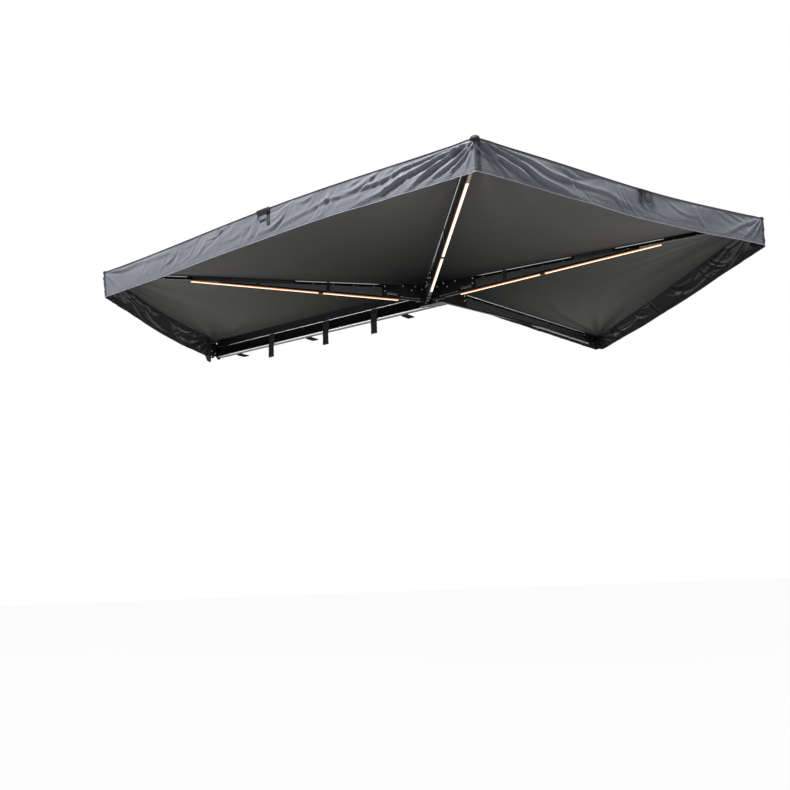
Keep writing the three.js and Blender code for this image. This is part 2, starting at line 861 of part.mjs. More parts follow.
function latchShape() {
  const shape = new THREE.Shape();
  const lobe_height = -rail_bottom - latch_reach_below + latch_lobe;
  const corner_height = -latch_top - latch_corner;
  const lobe_left = -latch_left + latch_lobe;
  const lobe_right = latch_right - latch_lobe;
  shape.moveTo(-latch_left, corner_height);
  shape.absarc(lobe_left, lobe_height, latch_lobe, Math.PI, 2 * Math.PI, false);
  shape.absarc(lobe_right, lobe_height, latch_lobe, Math.PI, 2 * Math.PI, false);
  shape.absarc(latch_right - latch_corner, corner_height, latch_corner, 0, right_angle, false);
  shape.absarc(-latch_left + latch_corner, corner_height, latch_corner, right_angle, Math.PI, false);
  return shape;
}

// An L bracket: one leg against the rail's back, the other under the rail's level with two slots.
function mountBracket(middle) {
  const back = -rail_face + rail_depth + seat_gap;
  const leg = back + bracket_thickness * half;
  const foot = -rail_bottom - bracket_drop + bracket_thickness * half;
  const corner = [];
  for (let i = 0; i <= arc_steps; i += 1) {
    const angle = Math.PI + right_angle * (i / arc_steps);
    corner.push([
      leg + bracket_bend + bracket_bend * Math.cos(angle),
      foot + bracket_bend + bracket_bend * Math.sin(angle),
    ]);
  }
  const profile = [[leg, -rail_top], ...corner, [back + bracket_reach, foot]];
  const rear = middle - bracket_width * half;
  const front = middle + bracket_width * half;
  const plate = lengthwise(bandShape(profile, bracket_thickness), rear, front);
  const rib_left = leg + bracket_thickness * half - weld;
  const rib_foot = foot + bracket_thickness * half - weld;
  const rib = lengthwise(
    polygon([
      [rib_left, rib_foot],
      [rib_left + bracket_rib_reach, rib_foot],
      [rib_left, rib_foot + bracket_rib_height],
    ]),
    middle - bracket_rib_thickness * half,
    middle + bracket_rib_thickness * half,
  );
  const slots = [-bracket_slot_offset, bracket_slot_offset].map((shift) => upward(
    roundedRect(
      back + bracket_slot_place - bracket_slot_length * half,
      back + bracket_slot_place + bracket_slot_length * half,
      middle + shift - bracket_slot_width * half,
      middle + shift + bracket_slot_width * half,
      bracket_slot_width * half - seat_gap,
    ),
    foot - bracket_thickness,
    foot + bracket_thickness,
  ));
  const head_height = -rail_bottom + rail_height * slot_height_shares[1];
  const heads = [-bracket_slot_offset, bracket_slot_offset].map((shift) => {
    const head = boltHead().rotateZ(-right_angle);
    return head.translate(back + bracket_thickness, middle + shift, head_height);
  });
  return cut(join(plate, rib, ...heads), ...slots);
}

// A strap lies on the rail's face, goes round the lip and hangs down.
function strapLine() {
  const out = seat_gap + strap_thickness * half;
  const top = -rail_top - strap_top_inset;
  const lip = -rail_bottom + lip_radius;
  const round = lip_radius + out;
  const start = Math.acos(out / round);
  const points = [[-rail_face - out, top], [-rail_face - out, lip + round * Math.sin(start) + overrun]];
  for (let i = 0; i <= arc_steps; i += 1) {
    const angle = Math.PI - start + start * (i / arc_steps);
    points.push([-rail_face + round * Math.cos(angle), lip + round * Math.sin(angle)]);
  }
  for (let i = 1; i <= arc_steps; i += 1) {
    const down = i / arc_steps;
    points.push([
      -rail_face - round - strap_wave * Math.sin(Math.PI * down),
      lip - strap_length_below * down,
    ]);
  }
  return points;
}

function storageStrap(middle) {
  const shape = bandShape(strapLine(), strap_thickness);
  return lengthwise(shape, middle - strap_width * half, middle + strap_width * half);
}

// A ladder buckle: a frame with two windows, on the strap's outer side above the lip.
function strapBuckle(middle) {
  const near = -rail_face - seat_gap - strap_thickness - seat_gap;
  const top = -rail_top - buckle_drop * half;
  const bottom = top - buckle_height;
  const frame = lengthBlock(near - buckle_thickness, near, middle, buckle_width, bottom, top);
  const inner = buckle_width - buckle_bar * 2;
  const window_height = (buckle_height - buckle_bar * 3) * half;
  const back = near - buckle_thickness - overrun;
  const windows = [bottom + buckle_bar, bottom + buckle_bar * 2 + window_height].map(
    (low) => lengthBlock(back, near + overrun, middle, inner, low, low + window_height),
  );
  return cut(frame, ...windows);
}

function lengthBlock(left, right, middle, length, bottom, top) {
  return block(left, right, middle - length * half, middle + length * half, bottom, top);
}

// The assembly

const awning = new THREE.Group();
const mount_place = (share) => -rail_rear + (rail_front + rail_rear) * share;
const mount_x = -rail_face + rail_depth + seat_gap + bracket_slot_place;
const mount_z = -rail_bottom - bracket_drop;
awning.position.set(-mount_x, -mount_place(bracket_place_shares[1]), -mount_z);

awning.add(meshOf('mounting_rail', mountingRail(), 'anodised'));
awning.add(meshOf('rail_cap_rear', railCap(-rail_rear, -1), 'black_plastic'));
awning.add(meshOf('rail_cap_front', railCap(rail_front, 1), 'black_plastic'));
awning.add(meshOf('first_rafter', firstRafter(), 'anodised'));
awning.add(meshOf('hub_bracket', hubBracket(), 'black_casting'));
awning.add(meshOf('front_latch_bracket', frontLatch(), 'black_casting'));

['rear', 'middle', 'front'].forEach((place, i) => {
  const middle = mount_place(bracket_place_shares[i]);
  awning.add(meshOf(`mount_bracket_${place}`, mountBracket(middle), 'black_casting'));
});

['rear', 'middle', 'front'].forEach((place, i) => {
  const middle = arm_reach * strap_place_shares[i];
  awning.add(meshOf(`storage_strap_${place}`, storageStrap(middle), 'webbing'));
  awning.add(meshOf(`strap_buckle_${place}`, strapBuckle(middle), 'black_plastic'));
});

let carrier = awning;
for (let k = 1; k < turn.length; k += 1) {
  const pin = meshOf(`king_pin_${k}`, kingPin(k - 1), 'steel');
  pin.position.set(-pivot_spacing, 0, 0);
  carrier.add(pin);
  const arm = new THREE.Group();
  arm.position.set(-pivot_spacing, 0, 0);
  arm.rotation.z = turn[k] - turn[k - 1];
  carrier.add(arm);
  arm.add(meshOf(`arm_${k}_root_casting`, rootCasting(k), 'black_casting'));
  arm.add(meshOf(`arm_${k}_rafter`, rafter(), 'grey_aluminium'));
  arm.add(meshOf(`arm_${k}_web`, web(k), 'grey_aluminium'));
  arm.add(meshOf(`arm_${k}_tip_cap`, tipCap(), 'black_plastic'));
  if (pocket_span_shares[k]) arm.add(meshOf(`arm_${k}_side_pocket`, sidePocket(k), 'webbing'));
  const chord = new THREE.Group();
  chord.position.set(0, chord_start, braceLine(k, chord_start));
  chord.rotation.x = braceAngle(k);
  arm.add(chord);
  chord.add(meshOf(`arm_${k}_brace`, brace(k), 'anodised'));
  if (k < turn.length - 1) {
    const spans = lightSpans(k);
    chord.add(meshOf(`arm_${k}_light_inner`, lightBar(k, spans.inner), 'light'));
    chord.add(meshOf(`arm_${k}_light_outer`, lightBar(k, spans.outer), 'light'));
    chord.add(meshOf(`arm_${k}_light_clip`, lightClip(k), 'black_plastic'));
  } else {
    arm.add(meshOf('side_flap', sideFlap(), 'valance'));
  }
  awning.add(meshOf(`canopy_panel_${k}`, canopyPanel(k), 'canopy'));
  awning.add(meshOf(`valance_${k}`, valance(k), 'valance'));
  carrier = arm;
}

export default awning;
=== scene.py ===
# %% [markdown]
# # A fold-out vehicle side awning, from bare frame to finished cloth and metal
#
# This lesson dresses the construction model of a 270 degree side awning. The frame comes in with
# fixed solids: a rail, a hub, four swinging arms and plain stand-ins for the cloth. Here the cloth
# gets its cut, folds, hems and stitching, the arms get their fittings, and every surface gets a
# finish. All lengths are in metres, Z is up, Y runs forward along the rail, and X points to the
# vehicle. Each cell makes one kind of piece and prints what it made.

import math

import bpy
import numpy as np
from mathutils import Matrix, Vector


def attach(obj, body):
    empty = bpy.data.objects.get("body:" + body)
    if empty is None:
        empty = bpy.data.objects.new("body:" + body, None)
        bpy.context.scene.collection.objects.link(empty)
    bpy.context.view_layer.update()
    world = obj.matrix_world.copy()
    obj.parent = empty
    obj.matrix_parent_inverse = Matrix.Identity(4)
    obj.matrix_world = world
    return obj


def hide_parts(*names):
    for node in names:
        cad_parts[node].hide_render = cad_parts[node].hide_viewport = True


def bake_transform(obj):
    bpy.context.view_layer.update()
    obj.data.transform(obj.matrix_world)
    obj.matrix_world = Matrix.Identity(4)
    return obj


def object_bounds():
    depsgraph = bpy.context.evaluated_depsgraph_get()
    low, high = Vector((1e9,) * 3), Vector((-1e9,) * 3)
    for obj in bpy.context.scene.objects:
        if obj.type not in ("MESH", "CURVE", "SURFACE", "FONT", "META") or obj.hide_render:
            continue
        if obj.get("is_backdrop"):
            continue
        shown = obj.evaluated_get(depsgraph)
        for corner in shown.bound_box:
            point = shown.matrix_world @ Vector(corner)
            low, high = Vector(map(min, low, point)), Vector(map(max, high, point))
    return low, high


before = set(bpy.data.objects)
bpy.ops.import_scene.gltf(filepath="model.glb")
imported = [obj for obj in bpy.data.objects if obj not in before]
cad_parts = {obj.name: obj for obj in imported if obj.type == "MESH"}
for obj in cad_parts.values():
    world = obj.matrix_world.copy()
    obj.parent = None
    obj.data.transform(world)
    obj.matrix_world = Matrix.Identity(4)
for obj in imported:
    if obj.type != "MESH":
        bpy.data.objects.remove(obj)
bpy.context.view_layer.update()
print("frame nodes:", len(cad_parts))

# %% [markdown]
# ## Where the arms stand
#
# The awning opens like a fan. Each arm hinges on the one before, so its pivot lies a fixed spacing
# to the side of the last pivot. Every cloth and fitting below is placed from these few numbers: a
# distance along an arm, a distance to its side and a height above the canopy's plane.

# %% The arms' angles, pivots and directions
ANGLES = np.radians([0.0, 49.0, 130.0, 188.0, 263.0])
BODIES = ["rail", "arm_1", "arm_2", "arm_3", "arm_4"]
HUB = np.array([-0.0823, -1.2306, 0.162])
PIVOT_SPACING = 0.046
REACH = 2.3
UP = np.array([0.0, 0.0, 1.0])


def joined(*parts):
    """Coordinates side by side on the last axis of one array, each first spread to one shape."""
    return np.stack(np.broadcast_arrays(*parts), axis=-1)


OUT = joined(-np.sin(ANGLES), np.cos(ANGLES), 0.0)
SIDE = joined(-np.cos(ANGLES), -np.sin(ANGLES), 0.0)
PIVOTS = HUB + np.concatenate([np.zeros((1, 3)), np.cumsum(SIDE[:4] * PIVOT_SPACING, axis=0)])


def on_arm(arm, reach, side=0.0, height=0.0):
    """Points at a distance along an arm, beside it and above the canopy's plane."""
    reach, side, height = (part[..., None] for part in np.broadcast_arrays(reach, side, height))
    return PIVOTS[arm] + reach * OUT[arm] + side * SIDE[arm] + height * UP


def smooth(x):
    """Rises from 0 to 1 between x = 0 and x = 1 as 3 x^2 - 2 x^3."""
    x = np.clip(x, 0.0, 1.0)
    return x * x * (3.0 - 2.0 * x)


print("arm tips:", [np.round(on_arm(k, REACH), 3).tolist() for k in range(5)])

# %% [markdown]
# ## Building meshes from formulas
#
# A cloth is a grid of points. A bar or a cord is a row of rings. A screw is a profile turned round
# its axis. All of them come down to points and faces, so first come the sums on vectors and the
# numbering of faces. They take whole numpy arrays at once, without a loop over points.

# %% Vectors and faces


def unit(vectors):
    """Vectors brought to length one."""
    return vectors / np.maximum(np.linalg.norm(vectors, axis=-1, keepdims=True), 1e-12)


def square_to(vectors, axis):
    """The part of vectors square to a unit axis, v - (v . a) a, brought to length one."""
    return unit(vectors - (vectors * axis).sum(-1, keepdims=True) * axis)


def run_along(path):
    """Distance along a path at each of its points."""
    return np.concatenate([[0], np.cumsum(np.linalg.norm(np.diff(path, axis=0), axis=1))])


def grid_faces(rows, columns):
    """Four-cornered faces of a grid of rows by columns points."""
    a = (np.arange(rows - 1)[:, None] * columns + np.arange(columns - 1)[None, :]).ravel()
    return np.stack([a, a + 1, a + columns + 1, a + columns], axis=1)


def border_faces(rows, columns):
    """Faces round the edge that join a grid to a second grid, numbered after it."""
    ring = np.concatenate(
        [
            np.arange(columns - 1),
            np.arange(rows - 1) * columns + columns - 1,
            (rows - 1) * columns + np.arange(columns - 1, 0, -1),
            np.arange(rows - 1, 0, -1) * columns,
        ]
    )
    following = np.roll(ring, -1)
    behind = rows * columns
    return np.stack([following, ring, ring + behind, following + behind], axis=1)


def tube_faces(count, around):
    """Four-cornered faces round a row of rings of points, and the two flat ends."""
    a = np.arange(count - 1)[:, None] * around
    i = np.arange(around)[None, :]
    j = (i + 1) % around
    sides = np.stack([a + i, a + j, a + around + j, a + around + i], axis=-1).reshape(-1, 4)
    return [sides, i[:, ::-1], (count - 1) * around + i]


def area_of(points):
    """Area of a grid of points: the sum of its cells' half cross products of the diagonals."""
    one = points[1:, 1:] - points[:-1, :-1]
    other = points[1:, :-1] - points[:-1, 1:]
    return float(np.linalg.norm(np.cross(one, other), axis=-1).sum() / 2)


# %% [markdown]
# ### The builders
#
# Blender's own shapes and modifiers could make most of these pieces, but a mesh that is filled in
# one go from arrays has exactly the points that its formula gives. Sheet makes a cloth with two
# sides, loft a bar through rings, and stamped many copies of one small turned shape.

# %% Mesh builders


def piece(name, points, faces, materials, uv=None, choice=None, soft=True):
    """Makes one mesh object from points and face arrays, each array with its own corner count."""
    mesh = bpy.data.meshes.new(name)
    points = np.asarray(points, np.float32).reshape(-1, 3)
    corners = np.concatenate([np.asarray(f, np.int32).ravel() for f in faces])
    sizes = np.concatenate([np.full(len(f), np.shape(f)[1], np.int32) for f in faces])
    starts = np.concatenate([[0], np.cumsum(sizes)[:-1]]).astype(np.int32)
    mesh.vertices.add(len(points))
    mesh.vertices.foreach_set("co", points.ravel())
    mesh.loops.add(len(corners))
    mesh.loops.foreach_set("vertex_index", corners)
    mesh.polygons.add(len(sizes))
    mesh.polygons.foreach_set("loop_start", starts)
    if choice is not None:
        mesh.polygons.foreach_set("material_index", np.asarray(choice, np.int32))
    mesh.polygons.foreach_set("use_smooth", np.full(len(sizes), soft))
    if uv is not None:
        layer = mesh.uv_layers.new(name="UVMap")
        layer.data.foreach_set("uv", np.asarray(uv, np.float32).reshape(-1, 2)[corners].ravel())
    mesh.update(calc_edges=True)
    mesh.validate()
    for material in materials if isinstance(materials, list) else [materials]:
        mesh.materials.append(material)
    made = bpy.data.objects.new(name, mesh)
    bpy.context.scene.collection.objects.link(made)
    return made


def sheet(name, points, thickness, face, materials, uv=None, relief=None, inner=None):
    """A closed cloth from the grid of its outer side, which looks towards face. The inner side lies
    a thickness behind it, square to it, unless it has a grid of its own."""
    rows, columns = points.shape[:2]
    normal = unit(np.cross(np.gradient(points, axis=1), np.gradient(points, axis=0)))
    turned = float((normal @ np.asarray(face, float)).mean()) < 0
    if inner is None:
        inner = points - (-normal if turned else normal) * thickness
    outside = grid_faces(rows, columns)
    border = border_faces(rows, columns)
    faces = [outside, outside[:, ::-1] + rows * columns, border]
    if turned:
        faces = [f[:, ::-1] for f in faces]
    if uv is None:
        step_u = np.linalg.norm(np.diff(points, axis=1), axis=-1).mean()
        step_v = np.linalg.norm(np.diff(points, axis=0), axis=-1).mean()
        uv = joined(np.arange(columns)[None, :] * step_u, np.arange(rows)[:, None] * step_v)
    choice = np.repeat([0, 1], [len(outside), len(outside) + len(border)])
    made = piece(
        name,
        np.concatenate([points.reshape(-1, 3), inner.reshape(-1, 3)]),
        faces,
        materials,
        uv=np.concatenate([uv.reshape(-1, 2)] * 2),
        choice=choice if isinstance(materials, list) else None,
    )
    if relief is not None:
        values = made.data.attributes.new("relief", "FLOAT", "POINT")
        values.data.foreach_set("value", np.tile(relief.astype(np.float32).ravel(), 2))
    return made


def loft(name, rings, materials, uv=None):
    """A closed bar through rings of points, with flat ends."""
    faces = tube_faces(*rings.shape[:2])
    inward = np.cross(rings[0, 1] - rings[0, 0], rings[1, 0] - rings[0, 0])
    if inward @ (rings[0, 0] - rings[0].mean(axis=0)) < 0:
        faces = [f[:, ::-1] for f in faces]
    return piece(name, rings, faces, materials, uv=uv)


def sweep(path, section, normal):
    """Rings of a section carried along a path. The section's y lies along the given normal."""
    tangent = unit(np.gradient(path, axis=0))
    normal = square_to(np.broadcast_to(normal, path.shape), tangent)
    across = np.cross(tangent, normal)
    return (
        path[:, None]
        + section[None, :, :1] * across[:, None]
        + section[None, :, 1:] * normal[:, None]
    )


def circle(radius, steps=12):
    """A circle's points."""
    turn = np.arange(steps) / steps * 2 * math.pi
    return joined(radius * np.cos(turn), radius * np.sin(turn))


def rounded(width, height, corner, steps=4):
    """A rectangle's points with rounded corners, about its middle."""
    arc = np.linspace(0, math.pi / 2, steps + 1)
    signs = np.array([[1, 1], [-1, 1], [-1, -1], [1, -1]])
    centres = signs * [width / 2 - corner, height / 2 - corner]
    quarters = arc + np.arange(4)[:, None] * math.pi / 2
    arcs = centres[:, None] + corner * joined(np.cos(quarters), np.sin(quarters))
    return arcs.reshape(-1, 2)


def turned_shape(profile, steps=24):
    """Points and faces of a profile of (radius, height) turned round the z axis. A third number
    gives a ring that many corners, on a polygon of that inner radius: r / cos(angle from a flat's
    middle)."""
    turn = np.arange(steps) / steps * 2 * math.pi
    rings = []
    for radius, height, *corners in profile:
        part = 2 * math.pi / corners[0] if corners else 0.0
        shape = radius / np.cos((turn % part) - part / 2) if corners else radius
        rings.append(joined(shape * np.cos(turn), shape * np.sin(turn), height))
    return np.concatenate(rings), tube_faces(len(profile), steps)


# Any direction that no screw or stitch points in, from which a copy's own x axis is found
GUESS = np.array([0.31, 0.17, 0.93])


def stamped(name, shape, places, axes, materials):
    """Copies one small shape to many places in a single mesh, its z axis along the given axes."""
    points, faces = shape
    places = np.asarray(places, float).reshape(-1, 3)
    z = unit(np.broadcast_to(np.asarray(axes, float), places.shape))
    x = square_to(GUESS, z)
    y = np.cross(z, x)
    turned = points[None, :, :1] * x[:, None] + points[None, :, 1:2] * y[:, None]
    turned = turned + points[None, :, 2:] * z[:, None] + places[:, None]
    shift = np.arange(len(places))[:, None, None] * len(points)
    all_faces = [(f[None] + shift).reshape(-1, f.shape[1]) for f in faces]
    return piece(name, turned, all_faces, materials)


print("builders ready")

# %% [markdown]
# ## Finishes
#
# Every finish is a small graph of procedural nodes. Cloth reads its own flat coordinates in metres,
# so its weave stays with it when it folds. Metal and plastic read the object's coordinates, which
# are the frame's metres too. A colour is written as the hex code that a picture of it would show.

# %% Colours and nodes


def linear(code):
    """A hex colour in the linear light of shaders: c / 12.92, or ((c + .055) / 1.055) ^ 2.4."""
    parts = np.array([int(code[i : i + 2], 16) for i in (0, 2, 4)]) / 255
    light = np.where(parts <= 0.04045, parts / 12.92, ((parts + 0.055) / 1.055) ** 2.4)
    return (*light.tolist(), 1.0)


def tinted(colour, factor):
    """A linear colour times a factor."""
    return (*(part * factor for part in colour[:3]), 1.0)


def wire(node, *values, **named):
    """Fills a node's inputs: the first ones in order, others by their name or identifier with _ for
    a space. Another node's output is linked, and any other value is stored."""
    pairs = list(zip(node.inputs, values))
    for name, value in named.items():
        socket = next(s for s in node.inputs if name in (s.identifier, s.name.replace(" ", "_")))
        pairs.append((socket, value))
    for socket, value in pairs:
        if isinstance(value, bpy.types.NodeSocket):
            node.id_data.links.new(value, socket)
        else:
            socket.default_value = value


def add(tree, kind, *values, out=0, **named):
    """Adds a shader node with its settings and links, and gives back one of its outputs. Small
    names are the node's settings, and names with a capital are its inputs."""
    made = tree.nodes.new("ShaderNode" + kind)
    inputs = {name: value for name, value in named.items() if name[0].isupper()}
    for name, value in named.items():
        if name not in inputs:
            setattr(made, name, value)
    wire(made, *values, **inputs)
    return made.outputs[out]


def new_material(name, **constants):
    """A material, its node tree and its shader, with constants set on the shader's inputs."""
    made = bpy.data.materials.new(name)
    made.use_nodes = True
    surface = made.node_tree.nodes["Principled BSDF"]
    wire(surface, **constants)
    return made, made.node_tree, surface


# What a Mix node needs to blend two colours, and the output that they come out of
COLOURS = {"data_type": "RGBA", "out": 2}

# %% [markdown]
# ### Cloth
#
# Canvas, coating, tape and webbing are all plain weaves, which differ in thread spacing, in gloss
# and in how a crease shows. So one function draws a weave, and each cloth is one call of it. The
# canvas has its threads about 0.5 mm apart, drawn at 1.1 mm, because finer ones wouldn't show.

# %% Cloth finishes
# Slubs, the thick places of a thread, are 7 mm long and 1.1 mm wide: features per metre
SLUBS = (140.0, 900.0, 1.0)
# Wrinkles of a rolled cloth, about 70 by 45 mm
WRINKLES = (14.0, 22.0, 1.0)
# Faded blotches are about 0.3 m wide
BLOTCHES = 3.2
# Distances from the hub over which the painted shade fades out
HUB_SHADE_SPAN = (0.20, 2.0)


def woven(
    name, colour, pitch, roughness, sheen, mottle=0.12, crease=0.0, weave=0.00012, hub=1.0,
    gloss=0.35,
):
    """A plain weave: bump height sin(2 pi u / pitch) * sin(2 pi v / pitch), with slubs and wear.

    The relief attribute of a folded piece paints its ridges lighter and its furrows darker, as
    painted highlight and shade. Below 1, hub is the share of colour and gloss that is left beside
    the hub, as painted shade.
    """
    made, tree, surface = new_material(
        name, Roughness=roughness, Metallic=0.0,
        Sheen_Weight=sheen, Sheen_Roughness=0.45, Specular_IOR_Level=gloss,
    )
    flat = add(tree, "UVMap")
    turns = 2 * math.pi / pitch
    angles = add(tree, "VectorMath", flat, (turns, turns, 1.0), operation="MULTIPLY")
    parts = add(tree, "SeparateXYZ", angles).node.outputs
    across = add(tree, "Math", parts[0], operation="SINE")
    along = add(tree, "Math", parts[1], operation="SINE")
    threads = add(tree, "Math", across, along, operation="MULTIPLY")
    fibres = add(tree, "VectorMath", flat, SLUBS, operation="MULTIPLY")
    slubs = add(tree, "TexNoise", Vector=fibres, Scale=1.0, Detail=2.0)
    blotches = add(tree, "TexNoise", Vector=flat, Scale=BLOTCHES, Detail=4.0, Roughness=0.55)
    uneven = add(tree, "Mix", Factor_Float=0.3, A_Float=blotches, B_Float=slubs)
    base = linear(colour)
    shade = add(
        tree, "Mix", **COLOURS, Factor_Float=add(tree, "MapRange", uneven, 0.32, 0.68),
        A_Color=tinted(base, 1 - mottle), B_Color=tinted(base, 1 + mottle),
    )
    # Painted shade and highlight: the relief darkens the furrows and lightens the ridges
    if crease:
        relief = add(tree, "Attribute", attribute_name="relief", out="Fac")
        wear_and_fold_shade = add(
            tree, "Mix", **COLOURS, Factor_Float=add(tree, "MapRange", relief, -0.006, 0.006),
            A_Color=tinted(base, 1 - crease), B_Color=tinted(base, 1 + crease),
        )
        shade = add(tree, "Mix", **COLOURS, Factor_Float=0.6, A_Color=shade, B_Color=wear_and_fold_shade)
    # Painted shade: colour and gloss fall off towards the hub, standing in for the shadow that
    # falls there
    if hub < 1.0:
        middle = (HUB[0], HUB[1], 0.0)
        from_hub = add(tree, "VectorMath", flat, middle, operation="DISTANCE", out=1)
        left = add(tree, "MapRange", from_hub, *HUB_SHADE_SPAN, hub, 1.0)
        shade = add(tree, "VectorMath", shade, operation="SCALE", Scale=left)
        shaded_gloss = add(tree, "Math", left, gloss, operation="MULTIPLY")
        wire(surface, Specular_IOR_Level=shaded_gloss)
    rough = add(tree, "MapRange", slubs, 0.3, 0.7, roughness - 0.06, roughness + 0.06)
    broad = add(tree, "VectorMath", flat, WRINKLES, operation="MULTIPLY")
    wrinkles = add(tree, "TexNoise", Vector=broad, Scale=1.0, Detail=3.0, Roughness=0.6)
    wrinkled = add(tree, "Bump", Height=wrinkles, Distance=0.004, Strength=0.35)
    relief = add(tree, "Bump", Height=threads, Distance=weave, Strength=0.5, Normal=wrinkled)
    wire(surface, Base_Color=shade, Roughness=rough, Normal=relief)
    return made


def twisted(name, furrow, ridge):
    """Sewing thread: slanting bands, dark in the furrows between its twisted strands."""
    made, tree, surface = new_material(name, Roughness=0.5, Metallic=0.0)
    strands = add(
        tree, "TexWave", bands_direction="DIAGONAL", out=1,
        Vector=add(tree, "TexCoord", out="Object"), Scale=900.0, Distortion=0.4,
    )
    shade = add(
        tree, "Mix", **COLOURS, Factor_Float=strands, A_Color=linear(furrow), B_Color=linear(ridge)
    )
    relief = add(tree, "Bump", Height=strands, Distance=0.0001, Strength=0.5)
    wire(surface, Base_Color=shade, Normal=relief)
    return made


# Solution-dyed polyester canvas with a coated face: the outside of the valances, with painted shade
# in its fold furrows and painted highlight on their ridges
CANVAS = woven("coated_polyester_canvas", "64666f", 0.0011, 0.50, 0.22, 0.08, crease=0.26)
# The same canvas on the canopy's upper side, a little faded by the sun
CANOPY_TOP = woven("canopy_canvas_sun_side", "666870", 0.0011, 0.60, 0.22, 0.10)
# The light-blocking coat rolled on the canopy's underside, charcoal and almost matt. Round the hub
# it carries painted shade, with its colour and gloss darkened there, and its folds carry painted
# shade and highlight.
LINING = woven(
    "blackout_coating", "5a5956", 0.0016, 0.78, 0.06, 0.06, 0.50, 0.00006, hub=0.05, gloss=0.27
)
# The valances' inner side, coated darker and smoother, with painted shade and highlight along its
# folds
DARK_LINING = woven("valance_inner_coating", "2a2b30", 0.0014, 0.33, 0.12, 0.15, crease=0.85)
# Narrow polyester tape, woven tight and dyed black: binding and reinforcement
TAPE = woven("black_binding_tape", "0f1011", 0.0016, 0.66, 0.12, 0.2)
# Heavier black webbing of the straps, tabs and pouches, in a coarse weave
WEBBING = woven("woven_webbing", "18191b", 0.0034, 0.66, 0.30, 0.2, weave=0.0004)
# Lighter grey webbing of the rolling tab
GREY_WEBBING = woven("grey_webbing", "65666f", 0.0030, 0.66, 0.20, 0.1, weave=0.0004)
# Edge piping and corner patches of the valances, dyed darker than the canvas
PIPING = woven("canvas_piping", "33343c", 0.0014, 0.6, 0.15, 0.1)
# The rolled lower hem's round edge, painted pale as a highlight
HEM_HIGHLIGHT = woven("rolled_hem", "9698a2", 0.0012, 0.5, 0.25, 0.08)
# Pale zip tape along the flap's inner face
PALE_TAPE = woven("pale_zip_tape", "f3efe6", 0.0016, 0.55, 0.15, 0.08)
# Bonded polyester thread, and a darker one for the seams of the black parts
THREAD = twisted("bonded_thread", "3c3d44", "63646d")
DARK_THREAD = twisted("dark_bonded_thread", "2b2c30", "55565c")
print("cloths and threads ready")

# %% [markdown]
# ### Metal, plastic and light
#
# Anodised extrusions keep fine lines from the die, along their length. Powder coat and moulded
# plastic have a fine grain instead. Both are a noise texture used as a height: drawn out along the
# piece for metal, and even for coats.

# %% Metal, plastic and light finishes
# Lines of a die are 1.4 mm wide here and 70 mm long, coarser than real ones so that they show
DRAWN = (700.0, 14.0, 700.0)
# The diodes' spacing on their strip
DIODE_PITCH = 0.0165


def metal(name, colour, roughness, grain, grit=0.00003, patch=0.1):
    """Metal with fine lines from drawing or blasting, uneven gloss and slight patches."""
    made, tree, surface = new_material(name, Metallic=1.0, Roughness=roughness)
    here = add(tree, "TexCoord", out="Object")
    drawn = add(tree, "VectorMath", here, grain, operation="MULTIPLY")
    lines = add(tree, "TexNoise", Vector=drawn, Scale=1.0, Detail=2.0)
    spots = add(tree, "TexNoise", Vector=here, Scale=38.0, Detail=4.0, Roughness=0.6)
    broad = add(tree, "TexNoise", Vector=here, Scale=2.3, Detail=3.0)
    patches = add(tree, "Mix", Factor_Float=0.55, A_Float=lines, B_Float=broad)
    base = linear(colour)
    shade = add(
        tree, "Mix", **COLOURS, Factor_Float=add(tree, "MapRange", patches, 0.3, 0.7),
        A_Color=tinted(base, 1 - patch), B_Color=tinted(base, 1 + patch),
    )
    wear_and_fold_shade = add(tree, "Mix", Factor_Float=0.4, A_Float=spots, B_Float=lines)
    rough = add(tree, "MapRange", wear_and_fold_shade, 0.3, 0.7, roughness - 0.07, roughness + 0.09)
    relief = add(tree, "Bump", Height=lines, Distance=grit, Strength=0.6)
    wire(surface, Base_Color=shade, Roughness=rough, Normal=relief)
    return made


def coated(name, colour, roughness, grain_size, height, patch=0.15, coat=0.0, gloss=0.5):
    """Powder coat or moulded plastic: an orange-peel or spark-eroded grain at its real size."""
    made, tree, surface = new_material(
        name, Metallic=0.0, Roughness=roughness, Coat_Weight=coat, Specular_IOR_Level=gloss
    )
    here = add(tree, "TexCoord", out="Object")
    grain = add(tree, "TexNoise", Vector=here, Scale=1.0 / grain_size, Detail=2.0, Roughness=0.6)
    broad = add(tree, "TexNoise", Vector=here, Scale=9.0, Detail=3.0)
    base = linear(colour)
    shade = add(
        tree, "Mix", **COLOURS, Factor_Float=add(tree, "MapRange", broad, 0.35, 0.65),
        A_Color=tinted(base, 1 - patch), B_Color=tinted(base, 1 + patch),
    )
    rough = add(tree, "MapRange", broad, 0.3, 0.7, roughness - 0.05, roughness + 0.07)
    relief = add(tree, "Bump", Height=grain, Distance=height, Strength=0.7)
    wire(surface, Base_Color=shade, Roughness=rough, Normal=relief)
    return made


